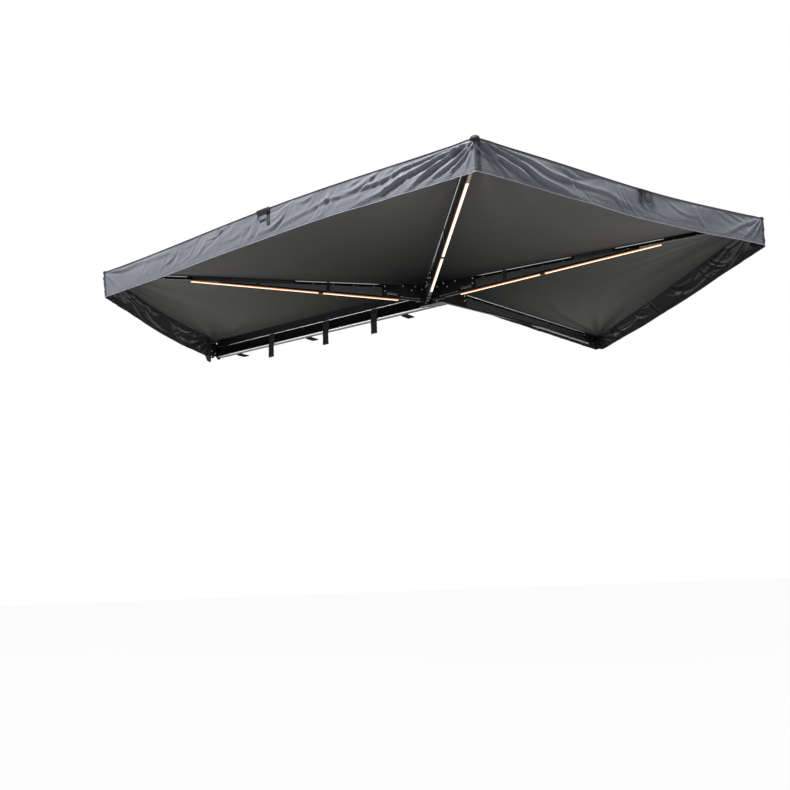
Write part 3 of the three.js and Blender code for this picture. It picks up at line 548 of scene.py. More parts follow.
def glowing(name, core, rim, core_strength, rim_strength):
    """A frosted cover over a row of warm light diodes. It glows brightest along its middle, and the
    flat coordinate across the bar, from 0 to 1, fades the glow to orange at both edges."""
    made, tree, surface = new_material(name, Roughness=0.35, Metallic=0.0, Emission_Strength=1.0)
    parts = add(tree, "SeparateXYZ", add(tree, "UVMap")).node.outputs
    shifted = add(tree, "Math", parts[0], 0.5, operation="SUBTRACT")
    off_middle = add(tree, "Math", shifted, operation="ABSOLUTE")
    edge = add(tree, "MapRange", off_middle, 0.19, 0.32)
    outer = add(tree, "MapRange", off_middle, 0.42, 0.50)
    turns = add(tree, "Math", parts[1], 2 * math.pi / DIODE_PITCH, operation="MULTIPLY")
    diodes = add(tree, "Math", turns, operation="SINE")
    flicker = add(tree, "MapRange", diodes, -1.0, 1.0, 0.94, 1.0)
    orange = tinted(linear(rim), rim_strength)
    rims = add(
        tree, "Mix", **COLOURS, Factor_Float=outer, A_Color=orange, B_Color=tinted(orange, 0.80)
    )
    white = tinted(linear(core), core_strength)
    glow = add(tree, "Mix", **COLOURS, Factor_Float=edge, A_Color=white, B_Color=rims)
    steady = add(tree, "VectorMath", glow, operation="SCALE", Scale=flicker)
    frost, amber = linear("fff0dc"), linear("a85c1c")
    body = add(tree, "Mix", **COLOURS, Factor_Float=edge, A_Color=frost, B_Color=amber)
    wire(surface, Emission_Color=steady, Base_Color=body)
    return made


# Extruded aluminium, black anodised: the rail, the braces and the rafters
ANODISED = metal("black_anodised_aluminium", "2e2f32", 0.30, DRAWN)
# The first rafter, anodised a shade lighter than the rail it is screwed to
RAFTER_GREY = metal("dark_grey_anodised_aluminium", "55565a", 0.38, DRAWN)
# Webs and channels in grey anodising
ARM_GREY = metal("grey_anodised_aluminium", "7d7e82", 0.40, (260.0, 260.0, 900.0), patch=0.08)
# Pale aluminium: painted highlight lines on the extrusions' edges and the rail's lip, and the bare
# plates on the root castings
BRIGHT_EDGE = metal("bright_aluminium_edge", "e4e6ea", 0.30, (400.0, 400.0, 900.0))
# Cast aluminium with black powder coat: hub, root castings and brackets
CASTING = coated("black_powder_coat", "131416", 0.42, 0.0011, 0.00009, coat=0.12)
# Zinc-plated steel fasteners and pins
STEEL = metal("zinc_plated_steel", "c3c5c8", 0.24, (500.0, 500.0, 500.0), grit=0.00002)
# Glass-filled nylon, moulded black: caps, clips and buckles
PLASTIC = coated("black_moulded_nylon", "0d0d0f", 0.62, 0.0008, 0.00006)
# Steel plate with a dull black paint: the feet that carry the rail
FOOT = coated("black_painted_steel", "080809", 0.85, 0.0009, 0.00005, gloss=0.1)
# Unlit cover at the end of the second arm's light channel
TAN = coated("tan_light_diffuser", "b79a74", 0.45, 0.0009, 0.00003, patch=0.08)
# Frosted cover of the light bars
GLOW = glowing("warm_light_diffuser", "fff4e4", "dd8216", 1.3, 0.85)
print("materials:", len(bpy.data.materials))

# %% [markdown]
# ## The canopy
#
# The real canopy is one sheet, cut as four gores and sewn together over the arms. Each gore hangs
# between two arms and sags a little in its middle, or is lifted there by the wind. Its folds run
# out from the corners, where the arm tips pull on it. A cloth simulation could find such a shape,
# but it would change with every small edit. A formula puts each fold where the real cloth has it.
# The gores stay separate pieces, one between each pair of arms, and their edges meet.

# %% The canopy's folds
# The shape's formula starts at CANOPY_START along the arms, and the cloth at INNER_EDGE
CANOPY_START = 0.07
INNER_EDGE = 0.016
CLOTH_LIFT = 0.0004
# How far each panel hangs in its middle, and how far that middle lies to one side
SAGS = {1: 0.0361, 2: -0.0340, 3: 0.0260, 4: 0.0239}
SAG_SKEWS = {1: 1.0, 2: 1.25, 3: 1.25, 4: 1.0}
SAG_POWER = 1.5
# How far the outer edge is drawn in, and the outermost panels reach over their rafters
DRAW_IN = 0.008
EDGE_OVER = 0.012
CLOTH = 0.001
ARM_PUCKER_PITCH = 0.057
# Height of the fan of folds at each arm's tip
CORNER_PULL = {0: 0.005, 1: 0.005, 2: 0.004, 3: 0.006, 4: 0.006}
# Single creases: panel, corner, angle from the arm in degrees, length, width and depth in metres
CREASES = [
    (4, 4, 14.0, 1.10, 0.022, 0.018), (4, 4, 20.0, 0.45, 0.012, 0.008),
    (4, 4, 31.0, 0.95, 0.018, 0.015), (4, 4, 38.0, 0.40, 0.012, 0.009),
    (4, 4, 45.0, 0.85, 0.020, 0.018), (4, 4, 26.0, 0.35, 0.010, 0.008),
    (4, 3, 28.5, 1.30, 0.012, 0.004), (4, 3, 21.0, 0.80, 0.010, 0.003),
    (4, 3, 40.0, 1.60, 0.030, 0.008), (1, 1, 58.0, 0.70, 0.014, 0.005),
    (1, 1, 48.0, 0.50, 0.012, 0.004), (1, 1, 30.0, 0.60, 0.014, 0.003),
    (1, 0, 50.0, 0.60, 0.014, 0.005), (1, 0, 30.0, 0.40, 0.012, 0.004),
    (3, 2, 30.0, 0.60, 0.016, 0.003), (2, 2, 35.0, 0.50, 0.014, 0.003),
]


def panel_edges(panel):
    """How far a panel reaches past its two arms: over the rafter at the first and last arm."""
    return (-EDGE_OVER if panel == 1 else 0.0), (EDGE_OVER if panel == 4 else 0.0)


def fan_folds(distance, angle, seed):
    """Folds that run out from a corner: cosines of the angle, strongest 0.25 m away."""
    spread = (distance / 0.25) * np.exp(1 - distance / 0.25)
    first = np.cos(15 * angle + seed * 1.7)
    second = np.cos(26 * angle + seed * 2.9 + 1.2 * np.sin(3 * distance))
    third = np.cos(41 * angle + seed * 0.7)
    return spread * (0.5 * first + 0.33 * second + 0.17 * third)


def single_crease(panel, place, corner, angle, length, width, depth):
    """One crease from a corner: exp(-(d / w)^2) - 0.5 exp(-((d - 1.8 w) / w)^2), with d the
    distance from its slightly waving line and w its width, which grows away from the corner."""
    turn = math.radians(angle)
    toward = SIDE[corner] if corner < panel else -SIDE[corner]
    offset = place - on_arm(corner, REACH)
    ahead = offset @ (-OUT[corner] * math.cos(turn) + toward * math.sin(turn))
    aside = offset @ (OUT[corner] * math.sin(turn) + toward * math.cos(turn))
    aside = aside + 0.04 * np.sin(ahead * 2.2) * ahead
    spread = width * (0.6 + 1.4 * np.clip(ahead, 0, 2) / length)
    fading = smooth(ahead / 0.10) * np.exp(-((np.clip(ahead, 0, None) / length) ** 2))
    ridge = np.exp(-((aside / spread) ** 2))
    furrow = np.exp(-(((aside - 1.8 * spread) / spread) ** 2))
    return depth * fading * (ridge - 0.5 * furrow)


def canopy_folds(panel, place):
    """Height of the canopy's folds at places of one panel, none where an arm holds the cloth."""
    height = np.zeros(place.shape[:-1])
    hold = np.ones(place.shape[:-1])
    for arm in (panel - 1, panel):
        offset = place - PIVOTS[arm]
        beside = np.abs(offset @ SIDE[arm])
        along = offset @ OUT[arm]
        hold = hold * smooth((beside - 0.012) / 0.10)
        phase = 2 * math.pi * along / ARM_PUCKER_PITCH + 2 * np.sin(along * 9)
        height = height + 0.0010 * np.exp(-beside / 0.06) * np.cos(phase)
        to_corner = place - on_arm(arm, REACH)
        distance = np.linalg.norm(to_corner[..., :2], axis=-1)
        cosine = np.clip((to_corner @ -OUT[arm]) / np.maximum(distance, 1e-6), -1, 1)
        folds = fan_folds(distance, np.arccos(cosine), panel + 2 * arm)
        height = height + CORNER_PULL[arm] * folds
    for own_panel, *crease in CREASES:
        if own_panel == panel:
            height = height + single_crease(panel, place, *crease)
    x, y = place[..., 0], place[..., 1]
    swell = np.sin(2.1 * x + 1.3 * y + panel) * np.sin(1.7 * y - 0.9 * x)
    return hold * (height + 0.003 * swell)


def canopy_point(panel, across, out, folded=True):
    """Points of a panel's underside: across runs from arm to arm, and out to its outer edge."""
    across, out = np.broadcast_arrays(across, out)
    near_edge, far_edge = panel_edges(panel)
    reach = CANOPY_START + (REACH - CANOPY_START) * out
    near = on_arm(panel - 1, reach, near_edge)
    far = on_arm(panel, reach, far_edge)
    share = across[..., None]
    inward = unit(OUT[panel - 1] * (1 - share) + OUT[panel] * share)
    drawn = DRAW_IN * np.sin(math.pi * across) * out**4
    place = near * (1 - share) + far * share - inward * drawn[..., None]
    sagged = np.clip(np.sin(math.pi * across ** SAG_SKEWS[panel]), 0, 1) ** SAG_POWER
    place[..., 2] += CLOTH_LIFT - SAGS[panel] * sagged * out**2
    if folded:
        place[..., 2] += canopy_folds(panel, place)
    return place


# %% [markdown]
# ### Fixing pieces to the bodies that carry them
#
# A bar rides one body. A panel's cloth spans two bodies that turn apart, and here it only has its
# transform baked in place. One function does either, and small ones on top of it make the kinds of
# piece that come again and again: a cloth, a bar along a path and rows of stitches.

# %% Fixing, cloths, bars and stitches
STITCH_LENGTH = 0.0034
STITCH_RADIUS = 0.0007
# One stitch: a short thread that dips into the cloth at both ends
STITCH = turned_shape(
    [
        (STITCH_RADIUS * 0.3, -STITCH_LENGTH / 2), (STITCH_RADIUS, -STITCH_LENGTH * 0.3),
        (STITCH_RADIUS, STITCH_LENGTH * 0.3), (STITCH_RADIUS * 0.3, STITCH_LENGTH / 2),
    ],
    steps=6,
)


def fold_between(cloth, panel):
    """Bakes the piece's transform into its mesh and reads its points. The points are not turned
    about any pivot."""
    tuple(on_arm(panel - 1, REACH))
    tuple(on_arm(panel, REACH))
    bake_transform(cloth)
    place = np.zeros(len(cloth.data.vertices) * 3, np.float32)
    cloth.data.vertices.foreach_get("co", place)
    place = place.reshape(-1, 3).astype(float)


def fixed(made, carrier, instead_of=None):
    """Fixes a piece to the body it rides, or, given a panel's number, bakes its transform in place.
    It may take the place of a frame node."""
    if carrier in BODIES:
        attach(made, carrier)
    else:
        fold_between(made, carrier)
    if instead_of:
        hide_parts(instead_of)


def cloth_on(
    carrier, name, points, thickness, face, finish,
    instead_of=None, uv=None, relief=None,
):
    """A sheet that is fixed to its carrier, in place of a frame node where one is named."""
    made = sheet(name, points, thickness, face, finish, uv, relief)
    fixed(made, carrier, instead_of)


def bar_on(carrier, name, path, section, normal, finish, flat=None):
    """A bar of one section along a path, fixed to its carrier. Where flat is given, its weave is
    laid out over that length and girth."""
    uv = None
    if flat:
        length, girth = np.linspace(0, flat[0], len(path)), np.linspace(0, flat[1], len(section))
        uv = joined(length[:, None], girth[None, :])
    fixed(loft(name, sweep(path, section, normal), finish, uv=uv), carrier)


def stitches_on(carrier, name, paths, thread, spacing):
    """Rows of stitches along several paths as one piece. Each stitch lies at an even distance along
    its path and points the way that the path runs there."""
    places, ways = [], []
    for path in paths:
        run = run_along(path)
        count = max(int(run[-1] / spacing), 2)
        middles = (np.arange(count) + 0.5) / count * run[-1]
        behind, here, ahead = (
            joined(*(np.interp(middles + shift * spacing, run, axis) for axis in path.T))
            for shift in (-0.3, 0.0, 0.3)
        )
        places.append(here)
        ways.append(unit(ahead - behind))
    fixed(stamped(name, STITCH, np.concatenate(places), np.concatenate(ways), thread), carrier)


print("one stitch:", STITCH_LENGTH, "long")

# %% [markdown]
# ### The four panels
#
# Each panel is the formula's grid, with a thickness. Its flat coordinates are the frame's own x and
# y, so the weave and the painted shade round the hub run on from panel to panel.

# %% The four canopy panels
PANEL_ROWS = 150
PANEL_COLUMNS = 180
first_row = (INNER_EDGE - CANOPY_START) / (REACH - CANOPY_START)
across = np.linspace(0, 1, PANEL_COLUMNS)[None, :]
out = np.linspace(first_row, 1, PANEL_ROWS)[:, None]
for panel in range(1, 5):
    under = canopy_point(panel, across, out)
    cloth_on(
        panel, f"canopy_cloth_{panel}", under + UP * CLOTH, CLOTH, UP, [CANOPY_TOP, LINING],
        instead_of=f"canopy_panel_{panel}", uv=under[..., :2],
        relief=canopy_point(panel, across, out, False)[..., 2] - under[..., 2],
    )
    print("canopy panel", panel, "area", round(area_of(under), 2), "square metres")

# %% [markdown]
# ### The hub's cover
#
# The gores leave a small hole between the pivots. A round patch of coated canvas, doubled and sewn
# with two rows, closes it against rain. A square grid is bent into the disc, so it has no pole:
# x = u sqrt(1 - v^2 / 2) and y = v sqrt(1 - u^2 / 2).

# %% Hub cover
COVER_RADIUS = 0.066
COVER_GRID = 44
hub_middle = PIVOTS.mean(axis=0)


def cover_height(lift, share, turn):
    """Height of the cover at a share of its radius: a low dome 1 - r^2 with 24 puckers."""
    return HUB[2] + lift + 0.004 * (1 - share**2) + 0.0004 * np.sin(24 * turn) * share**4


u, v = np.meshgrid(np.linspace(-1, 1, COVER_GRID), np.linspace(-1, 1, COVER_GRID))
disc = joined(u * np.sqrt(1 - v**2 / 2), v * np.sqrt(1 - u**2 / 2))
flat = hub_middle[:2] + disc * COVER_RADIUS
height = cover_height(0.0036, np.linalg.norm(disc, axis=-1), np.arctan2(disc[..., 1], disc[..., 0]))
lay = joined(flat[..., 0], flat[..., 1], height)
cloth_on(
    "arm_1", "hub_cover", lay, 0.0015, UP, [CANOPY_TOP, LINING],
    uv=flat,
)
turn = np.linspace(0, 2 * math.pi, 240)
rows = []
for radius in (COVER_RADIUS - 0.004, COVER_RADIUS - 0.012):
    ring = hub_middle + joined(radius * np.cos(turn), radius * np.sin(turn), 0.0)
    ring[:, 2] = cover_height(0.0039, radius / COVER_RADIUS, turn)
    rows.append(ring)
stitches_on("arm_1", "hub_cover_stitches", rows, THREAD, 0.006)
print("hub cover area", round(area_of(lay), 4))

# %% [markdown]
# ### Reinforcement under the canopy
#
# Along each arm a black tape strip is sewn to the underside. It spreads the arm's pull over the
# cloth and hides the keder seam. Two rows of stitches hold it. It could be a dark band in the
# canopy's finish, but its edge has a thickness that catches the light, so it is a sheet of its own.

# %% Sewn strips beside the arms
# Width of the strip of a panel beside its near arm and beside its far arm
STRIP_WIDTHS = {1: (0.030, 0.018), 2: (0.032, 0.022), 3: (0.014, 0.022), 4: (0.014, 0.034)}
STRIP_THICK = 0.0008


def panel_beside(panel, near, distance, out):
    """Points of the canopy's underside at a distance from one of its arms."""
    near_edge, far_edge = panel_edges(panel)
    reach = CANOPY_START + (REACH - CANOPY_START) * out
    chord = on_arm(panel, reach, far_edge) - on_arm(panel - 1, reach, near_edge)
    width = np.linalg.norm(chord, axis=-1)
    half_angle = (ANGLES[panel] - ANGLES[panel - 1]) / 2
    share = np.clip(distance / (width * math.cos(half_angle)), 0, 0.49)
    return canopy_point(panel, share if near else 1 - share, out)


out = np.linspace(0.06, 0.985, 150)[:, None]
seam_out = np.linspace(0.07, 0.98, 400)
for panel, widths in STRIP_WIDTHS.items():
    for side, broad in zip(("near", "far"), widths):
        near = side == "near"
        distance = np.linspace(0.0, broad, 12)[None, :]
        lay = panel_beside(panel, near, distance, out) - UP * 0.0002
        cloth_on(
            panel, f"canopy_strip_{panel}_{side}", lay, STRIP_THICK, UP, TAPE,
            uv=joined(distance, out * REACH),
        )
        rows = [
            panel_beside(panel, near, broad - inset, seam_out) - UP * 0.0011
            for inset in (0.003, 0.010)
        ]
        stitches_on(panel, f"strip_seam_{panel}_{side}", rows, DARK_THREAD, 0.012)
print("reinforcement strips and seams: 8 of each")

# %% [markdown]
# ### Seam tapes on top
#
# On the upper side a sealed tape covers each keder seam. It lies over the arm, so it moves with it.
# It is a sheet too, with a slight crown across it, 1 - (x / w)^2, where the seam lies beneath.

# %% Seam tapes over the arms
TAPE_HALF_WIDTH = 0.0118
TAPE_SEAM = 0.0095
reach = np.linspace(0.062, REACH - 0.012, 120)
beside = np.linspace(-TAPE_HALF_WIDTH, TAPE_HALF_WIDTH, 9)[None, :]
crown = 0.0008 * (1 - (beside / TAPE_HALF_WIDTH) ** 2)
for arm in range(5):
    lay = on_arm(arm, reach[:, None], beside, CLOTH_LIFT + CLOTH + 0.0011 + crown)
    cloth_on(
        BODIES[arm], f"seam_tape_{arm}", lay, 0.0008, UP, TAPE,
        uv=joined(beside, reach[:, None]),
    )
    above = CLOTH_LIFT + CLOTH + 0.0017
    rows = [on_arm(arm, reach, offset, above) for offset in (-TAPE_SEAM, TAPE_SEAM)]
    stitches_on(BODIES[arm], f"seam_tape_stitches_{arm}", rows, DARK_THREAD, 0.01)
print("seam tapes: 5")

# %% [markdown]
# ## The valances
#
# A valance hangs from each outer edge. The canvas is cut straight but hangs from an edge that is
# drawn in, so it creases: long folds run out from the top of each corner, short creases cross the
# middle at a slant, and the stitched hem puckers. Each crease is a narrow ridge with a furrow
# beside it. They could be sculpted, but as sums of ridges every crease stays a few numbers, and
# they are pushed out from the flat cloth along the way that it faces.

# %% The valances' creases
VALANCE_DROP = 0.172
HEM_BAND = 0.024
PUCKER_PITCH = 0.027
# Long folds of each valance: corner (0 first, 1 second), angle below the top edge in degrees,
# length, width at the corner and height in metres
FANS = {
    1: [(1, 10, 1.10, 0.016, 0.012), (1, 24, 0.70, 0.018, 0.016), (1, 40, 0.50, 0.016, 0.016),
        (1, 58, 0.36, 0.014, 0.012), (0, 8, 0.80, 0.016, 0.012), (0, 18, 0.70, 0.016, 0.014),
        (0, 32, 0.40, 0.014, 0.013), (0, 50, 0.26, 0.012, 0.010)],
    2: [(1, 5, 1.30, 0.010, 0.009), (1, 11, 1.50, 0.014, 0.015), (1, 19, 1.00, 0.013, 0.014),
        (1, 29, 0.55, 0.011, 0.012), (1, 42, 0.34, 0.010, 0.011), (1, 60, 0.24, 0.008, 0.008),
        (0, 3, 0.60, 0.014, 0.007), (0, 40, 0.22, 0.012, 0.004)],
    3: [(0, 6, 0.90, 0.010, 0.010), (0, 13, 1.10, 0.013, 0.014), (0, 23, 0.60, 0.012, 0.013),
        (0, 34, 0.42, 0.010, 0.011), (0, 50, 0.28, 0.009, 0.009), (1, 38, 0.30, 0.010, 0.007),
        (1, 52, 0.24, 0.009, 0.006), (1, 20, 0.45, 0.012, 0.005)],
    4: [(0, 5, 1.30, 0.016, 0.012), (0, 13, 0.90, 0.018, 0.016), (0, 27, 0.55, 0.016, 0.014),
        (0, 46, 0.34, 0.014, 0.011), (1, 6, 0.80, 0.013, 0.016), (1, 17, 0.60, 0.014, 0.020),
        (1, 33, 0.34, 0.013, 0.017), (1, 55, 0.22, 0.011, 0.012)],
}
# Slanting creases: how many per metre, mean lean in degrees, least and greatest height, and how
# many times the usual length they run
SLANTS = {1: (9, 17, 0.003, 0.009, 2.2), 2: (26, 36, 0.0015, 0.0060, 1.0),
          3: (17, 38, 0.0012, 0.0045, 1.0), 4: (8, 16, 0.003, 0.009, 2.4)}
# Which corner the creases of each valance point to: 1 is the panel's second arm, -1 its first
CREASE_SLANT = {1: 1, 2: 1, 3: -1, 4: 1}
# Share of the valance's length, from its first corner, over which the creases fade in
CREASE_FADE = {1: 0.02, 2: 0.34, 3: 0.02, 4: 0.02}


def ridge(aside, width):
    """A ridge with a furrow beside it: exp(-|d / w|^1.6) - 0.6 exp(-|(d - 1.7 w) / w|^1.6)."""
    crest = np.exp(-np.abs(aside / width) ** 1.6)
    return crest - 0.6 * np.exp(-np.abs((aside - 1.7 * width) / width) ** 1.6)


def corner_folds(panel, along, down, length):
    """Long folds from a valance's two corners. Each one widens away from its corner and waves."""
    relief = 0.0
    for corner, angle, reach, width, height in FANS[panel]:
        run = length - along if corner else along
        turn = math.radians(angle)
        ahead = run * math.cos(turn) + down * math.sin(turn)
        aside = down * math.cos(turn) - run * math.sin(turn)
        aside = aside + 0.010 * np.sin(9 * ahead + angle) + 0.004 * np.sin(23 * ahead + 2 * angle)
        broad = width * (0.45 + 1.9 * ahead / (reach + ahead))
        spread = smooth(ahead / 0.05) * np.exp(-((ahead / reach) ** 2))
        relief = relief + height * spread * ridge(aside, broad)
    return relief


def slanting_creases(panel, along, down, length):
    """Short creases strewn over a valance, each slightly bent: d = d + 0.25 s^2 / reach, with s the
    distance along it."""
    rng = np.random.default_rng(40 + panel)
    number, mean_lean, least, greatest, stretch = SLANTS[panel]
    count = int(number * length)
    centres = length * rng.uniform(0.02, 0.98, count)
    heights = rng.uniform(0.015, VALANCE_DROP - 0.01, count)
    leans = -CREASE_SLANT[panel] * np.radians(rng.normal(mean_lean, 13, count))
    reaches = rng.uniform(0.05, 0.16, count) * stretch
    widths = rng.uniform(0.006, 0.016, count)
    sizes = rng.uniform(least, greatest, count) * rng.choice([1, 1, -1], count)
    sizes = sizes * smooth(centres / length / CREASE_FADE[panel])
    relief = 0.0
    for centre, height, lean, size, reach, width in zip(
        centres, heights, leans, sizes, reaches, widths
    ):
        ahead = math.cos(lean) * (along - centre) + math.sin(lean) * (down - height)
        aside = -math.sin(lean) * (along - centre) + math.cos(lean) * (down - height)
        aside = aside + 0.25 * ahead**2 / reach
        relief = relief + size * ridge(aside, width) * np.exp(-((ahead / reach) ** 2))
    return relief


def hem_puckers(panel, along, down):
    """Dents cos^3 along the hem's seam, where the thread draws the canvas in unevenly."""
    line = VALANCE_DROP - HEM_BAND
    depth = 0.0030 * (0.25 + 0.75 * np.sin(along * 5.3 + panel) ** 2)
    skewed = along + CREASE_SLANT[panel] * 0.8 * (down - line)
    phase = 2 * math.pi * skewed / PUCKER_PITCH
    phase = phase + 2.6 * np.sin(along * 11 + panel) + 1.3 * np.sin(along * 37)
    dents = np.clip(np.cos(phase), 0, 1) ** 3
    return -depth * dents * np.exp(-(((down - line + 0.004) / 0.014) ** 2))


def creases(panel, along, down, length):
    """Relief of one valance: its folds and creases, held flat at its top, and its hem's puckers."""
    folds = corner_folds(panel, along, down, length)
    folds = folds + slanting_creases(panel, along, down, length)
    swell = 0.0022 * np.sin(2 * math.pi * along / 0.61 + 3 * down / VALANCE_DROP + panel)
    near_hem = smooth((down - 0.62 * VALANCE_DROP) / (0.34 * VALANCE_DROP))
    hold = smooth(down / 0.030) * (1 - 0.72 * near_hem)
    return hold * (folds + swell) + hem_puckers(panel, along, down)


# %% [markdown]
# ### How a valance hangs
#
# The upper edge follows the canopy's own outer edge, its small folds too, so that the two cloths
# meet. Lower down the cloth keeps to a plane, tucked in a little towards the hub, and takes on the
# creases. Two valances have ends of their own shape, which the drop takes in.

# %% The valances' surface
DROP_SHARES = {1: (1.035, 1.035), 2: (1.0, 1.0), 3: (1.0, 1.0), 4: (1.07, 0.86)}
TUCK_SHARES = (0.0, 0.07, 0.08, 0.035, 0.0)
VALANCE_WAVE = 0.003
VALANCE_FOLDS = 7
VALANCE_GAP = 0.0005
VALANCE_START = {1: 0.062, 2: 0.0, 3: 0.0, 4: 0.0}
VALANCE_LENGTHS = {}
VALANCE_FACING = {}
for panel, start in VALANCE_START.items():
    corners = canopy_point(panel, np.array([0.0, start, 1.0]), 1.0, False)
    chord = unit(corners[2] - corners[0])
    facing = np.array([chord[1], -chord[0], 0.0])
    VALANCE_FACING[panel] = facing if facing @ OUT[panel] > 0 else -facing
    VALANCE_LENGTHS[panel] = np.linalg.norm(corners[2] - corners[1])


def valance_relief(panel, share, down_share):
    """Relief at shares of a valance's length and of its drop."""
    length = VALANCE_LENGTHS[panel]
    return creases(panel, share * length, down_share * VALANCE_DROP, length)


def valance_drop(panel, across):
    """How far a valance hangs down at shares of its panel's edge. The end over the latch hangs
    lower in a round lobe, and the last end is cut round."""
    first, last = DROP_SHARES[panel]
    drop = VALANCE_DROP * (first + (last - first) * across)
    if panel == 1:
        drop = drop + 0.040 * smooth((0.135 - across) / 0.035) * smooth((across - 0.048) / 0.026)
    if panel == 4:
        drop = drop * (1 - 0.20 * smooth((across - 0.945) / 0.055))
    return drop


def valance_point(panel, share, down_share, lift=0.0, creased=True):
    """Points of a valance's outer side: share runs along it, and down_share to its hem."""
    share, down_share = np.broadcast_arrays(share, down_share)
    start = VALANCE_START[panel]
    across = start + (1 - start) * share
    fold = canopy_point(panel, across, 0.995, True) - canopy_point(panel, across, 0.995, False)
    edge = canopy_point(panel, across, 1.0, False) + fold * (1 - down_share[..., None]) ** 2
    inward = unit(OUT[panel - 1] * (1 - across[..., None]) + OUT[panel] * across[..., None])
    wave = VALANCE_WAVE * np.sin(math.pi * across) * np.sin(math.pi * VALANCE_FOLDS * across)
    relief = valance_relief(panel, share, down_share) if creased else 0.0
    push = VALANCE_GAP + CLOTH + wave * down_share**2 + relief + lift
    first, last = TUCK_SHARES[panel - 1], TUCK_SHARES[panel]
    tuck = VALANCE_DROP * (first + (last - first) * across) * down_share**2
    place = edge + VALANCE_FACING[panel] * push[..., None] - inward * tuck[..., None]
    place[..., 2] += 0.003 - valance_drop(panel, across) * down_share
    return place


print("valance lengths:", {panel: round(float(v), 3) for panel, v in VALANCE_LENGTHS.items()})

# %% [markdown]
# ### Hems, piping and seams
#
# The hem is the canvas folded up twice, so its lower edge is round. Piping runs along the upper
# edge, over the seam with the canopy. Two rows of stitches hold the hem, and one holds the piping.

# %% Valance cloths, hems, piping and seams
VALANCE_ROWS = 56
VALANCE_COLUMNS = 600
HEM_LINE = 1 - HEM_BAND / VALANCE_DROP
share = np.linspace(0, 1, VALANCE_COLUMNS)[None, :]
down = np.linspace(0, 1, VALANCE_ROWS)[:, None]
band_down = np.linspace(HEM_LINE, 0.995, 8)[:, None]
stitch_share = np.linspace(0.002, 0.998, 1400)
for panel, length in VALANCE_LENGTHS.items():
    facing = VALANCE_FACING[panel]
    cloth_on(
        panel, f"valance_cloth_{panel}", valance_point(panel, share, down), CLOTH, facing,
        [CANVAS, DARK_LINING],
        instead_of=f"valance_{panel}", uv=joined(share * length, down * VALANCE_DROP),
        relief=valance_relief(panel, share, down),
    )
    cloth_on(
        panel, f"valance_hem_{panel}", valance_point(panel, share, band_down, lift=0.0008), 0.0008,
        facing, CANVAS,
        uv=joined(share * length, band_down * VALANCE_DROP),
    )
    edge = valance_point(panel, np.linspace(0, 1, 420), 1.0) - facing * 0.0005
    # Painted light: valances 2 and 3 get the rolled edge as a painted highlight, and 1 and 4 the
    # same edge in the darker piping as painted shade
    edge_finish = HEM_HIGHLIGHT if panel in (2, 3) else PIPING
    bar_on(
        panel, f"valance_rolled_edge_{panel}", edge, circle(0.0023, 8), facing, edge_finish,
        flat=(length, 0.013),
    )
    edge = valance_point(panel, np.linspace(0, 1, 300), 0.0) + UP * 0.0008
    bar_on(
        panel, f"valance_piping_{panel}", edge, circle(0.0034, 8), facing, PIPING,
        flat=(length, 0.021),
    )
    rows = [
        valance_point(panel, stitch_share, depth, lift)
        for depth, lift in ((HEM_LINE + 0.012, 0.0012), (0.965, 0.0012), (0.045, 0.0004))
    ]
    stitches_on(panel, f"valance_stitches_{panel}", rows, THREAD, 0.0065)
    print("valance", panel, "length", round(float(length), 3))

# %% [markdown]
# ### Corners of the valances
#
# At each corner a patch of doubled canvas is sewn over the joint of two valances, with cross rows
# of stitches at its foot, and a moulded cap covers the point where the arm's tip carries the cloth.
# The patch lies on the valance's formula with a small lift, so it follows every crease. The cap is
# turned from a profile, as its mould was.

# %% Corner patches and caps
PATCH_WIDTHS = {
    (1, "end"): 0.020, (2, "start"): 0.020, (2, "end"): 0.010, (3, "start"): 0.028,
    (3, "end"): 0.020, (4, "start"): 0.022, (4, "end"): 0.040,
}
PATCH_SEAM = 0.003
PATCH_LIFT = 0.0017
# Radius and height of each arm's cap
CAP_SIZES = {1: (0.0160, 0.011), 2: (0.0252, 0.0175), 3: (0.0160, 0.012), 4: (0.0150, 0.009)}


def from_corner(panel, end, distance):
    """Share of a valance's length at a distance from its start or its end."""
    share = distance / VALANCE_LENGTHS[panel]
    return share if end == "start" else 1 - share


down = np.linspace(0.01, 0.97, 40)[:, None]
for (panel, end), width in PATCH_WIDTHS.items():
    share = from_corner(panel, end, np.linspace(0, width, 14)[None, :])
    cloth_on(
        panel, f"corner_patch_{panel}_{end}", valance_point(panel, share, down, PATCH_LIFT), 0.0009,
        VALANCE_FACING[panel], PIPING,
        uv=joined(share * VALANCE_LENGTHS[panel], down * VALANCE_DROP),
    )
    rim = width - PATCH_SEAM
    upright = [(from_corner(panel, end, x), np.linspace(0.02, 0.96, 90)) for x in (rim, 0.3 * rim)]
    across = from_corner(panel, end, np.linspace(0.002, rim, 30))
    level = [(across, depth) for depth in (0.78, 0.84, 0.90, 0.955)]
    rows = [valance_point(panel, *line, PATCH_LIFT + 0.0004) for line in upright + level]
    stitches_on(panel, f"corner_stitches_{panel}_{end}", rows, THREAD, 0.0045)

for arm, (radius, height) in CAP_SIZES.items():
    profile = [(radius * 1.02, -0.010), (radius * 1.06, -0.004), (radius * 1.06, 0.0)]
    dome = np.linspace(0.12, math.pi / 2, 7)
    profile += [(radius * math.cos(a) ** 0.8 + 0.0005, height * math.sin(a)) for a in dome]
    place = on_arm(arm, REACH - radius * 0.60, 0.0, 0.0045)
    cap = stamped(f"corner_cap_{arm}", turned_shape(profile, 28), [place], UP, PLASTIC)
    fixed(cap, BODIES[arm])
print("corner patches and caps:", len(PATCH_WIDTHS) + len(CAP_SIZES))

# %% [markdown]
# ### The short valance over the latch
#
# The first valance stops short of the rail, where the latch sits. A low strip of the same canvas
# carries the edge on over the latch to the first rafter. It is the valance's own formula, run on
# past its start, so that the edge has no step.

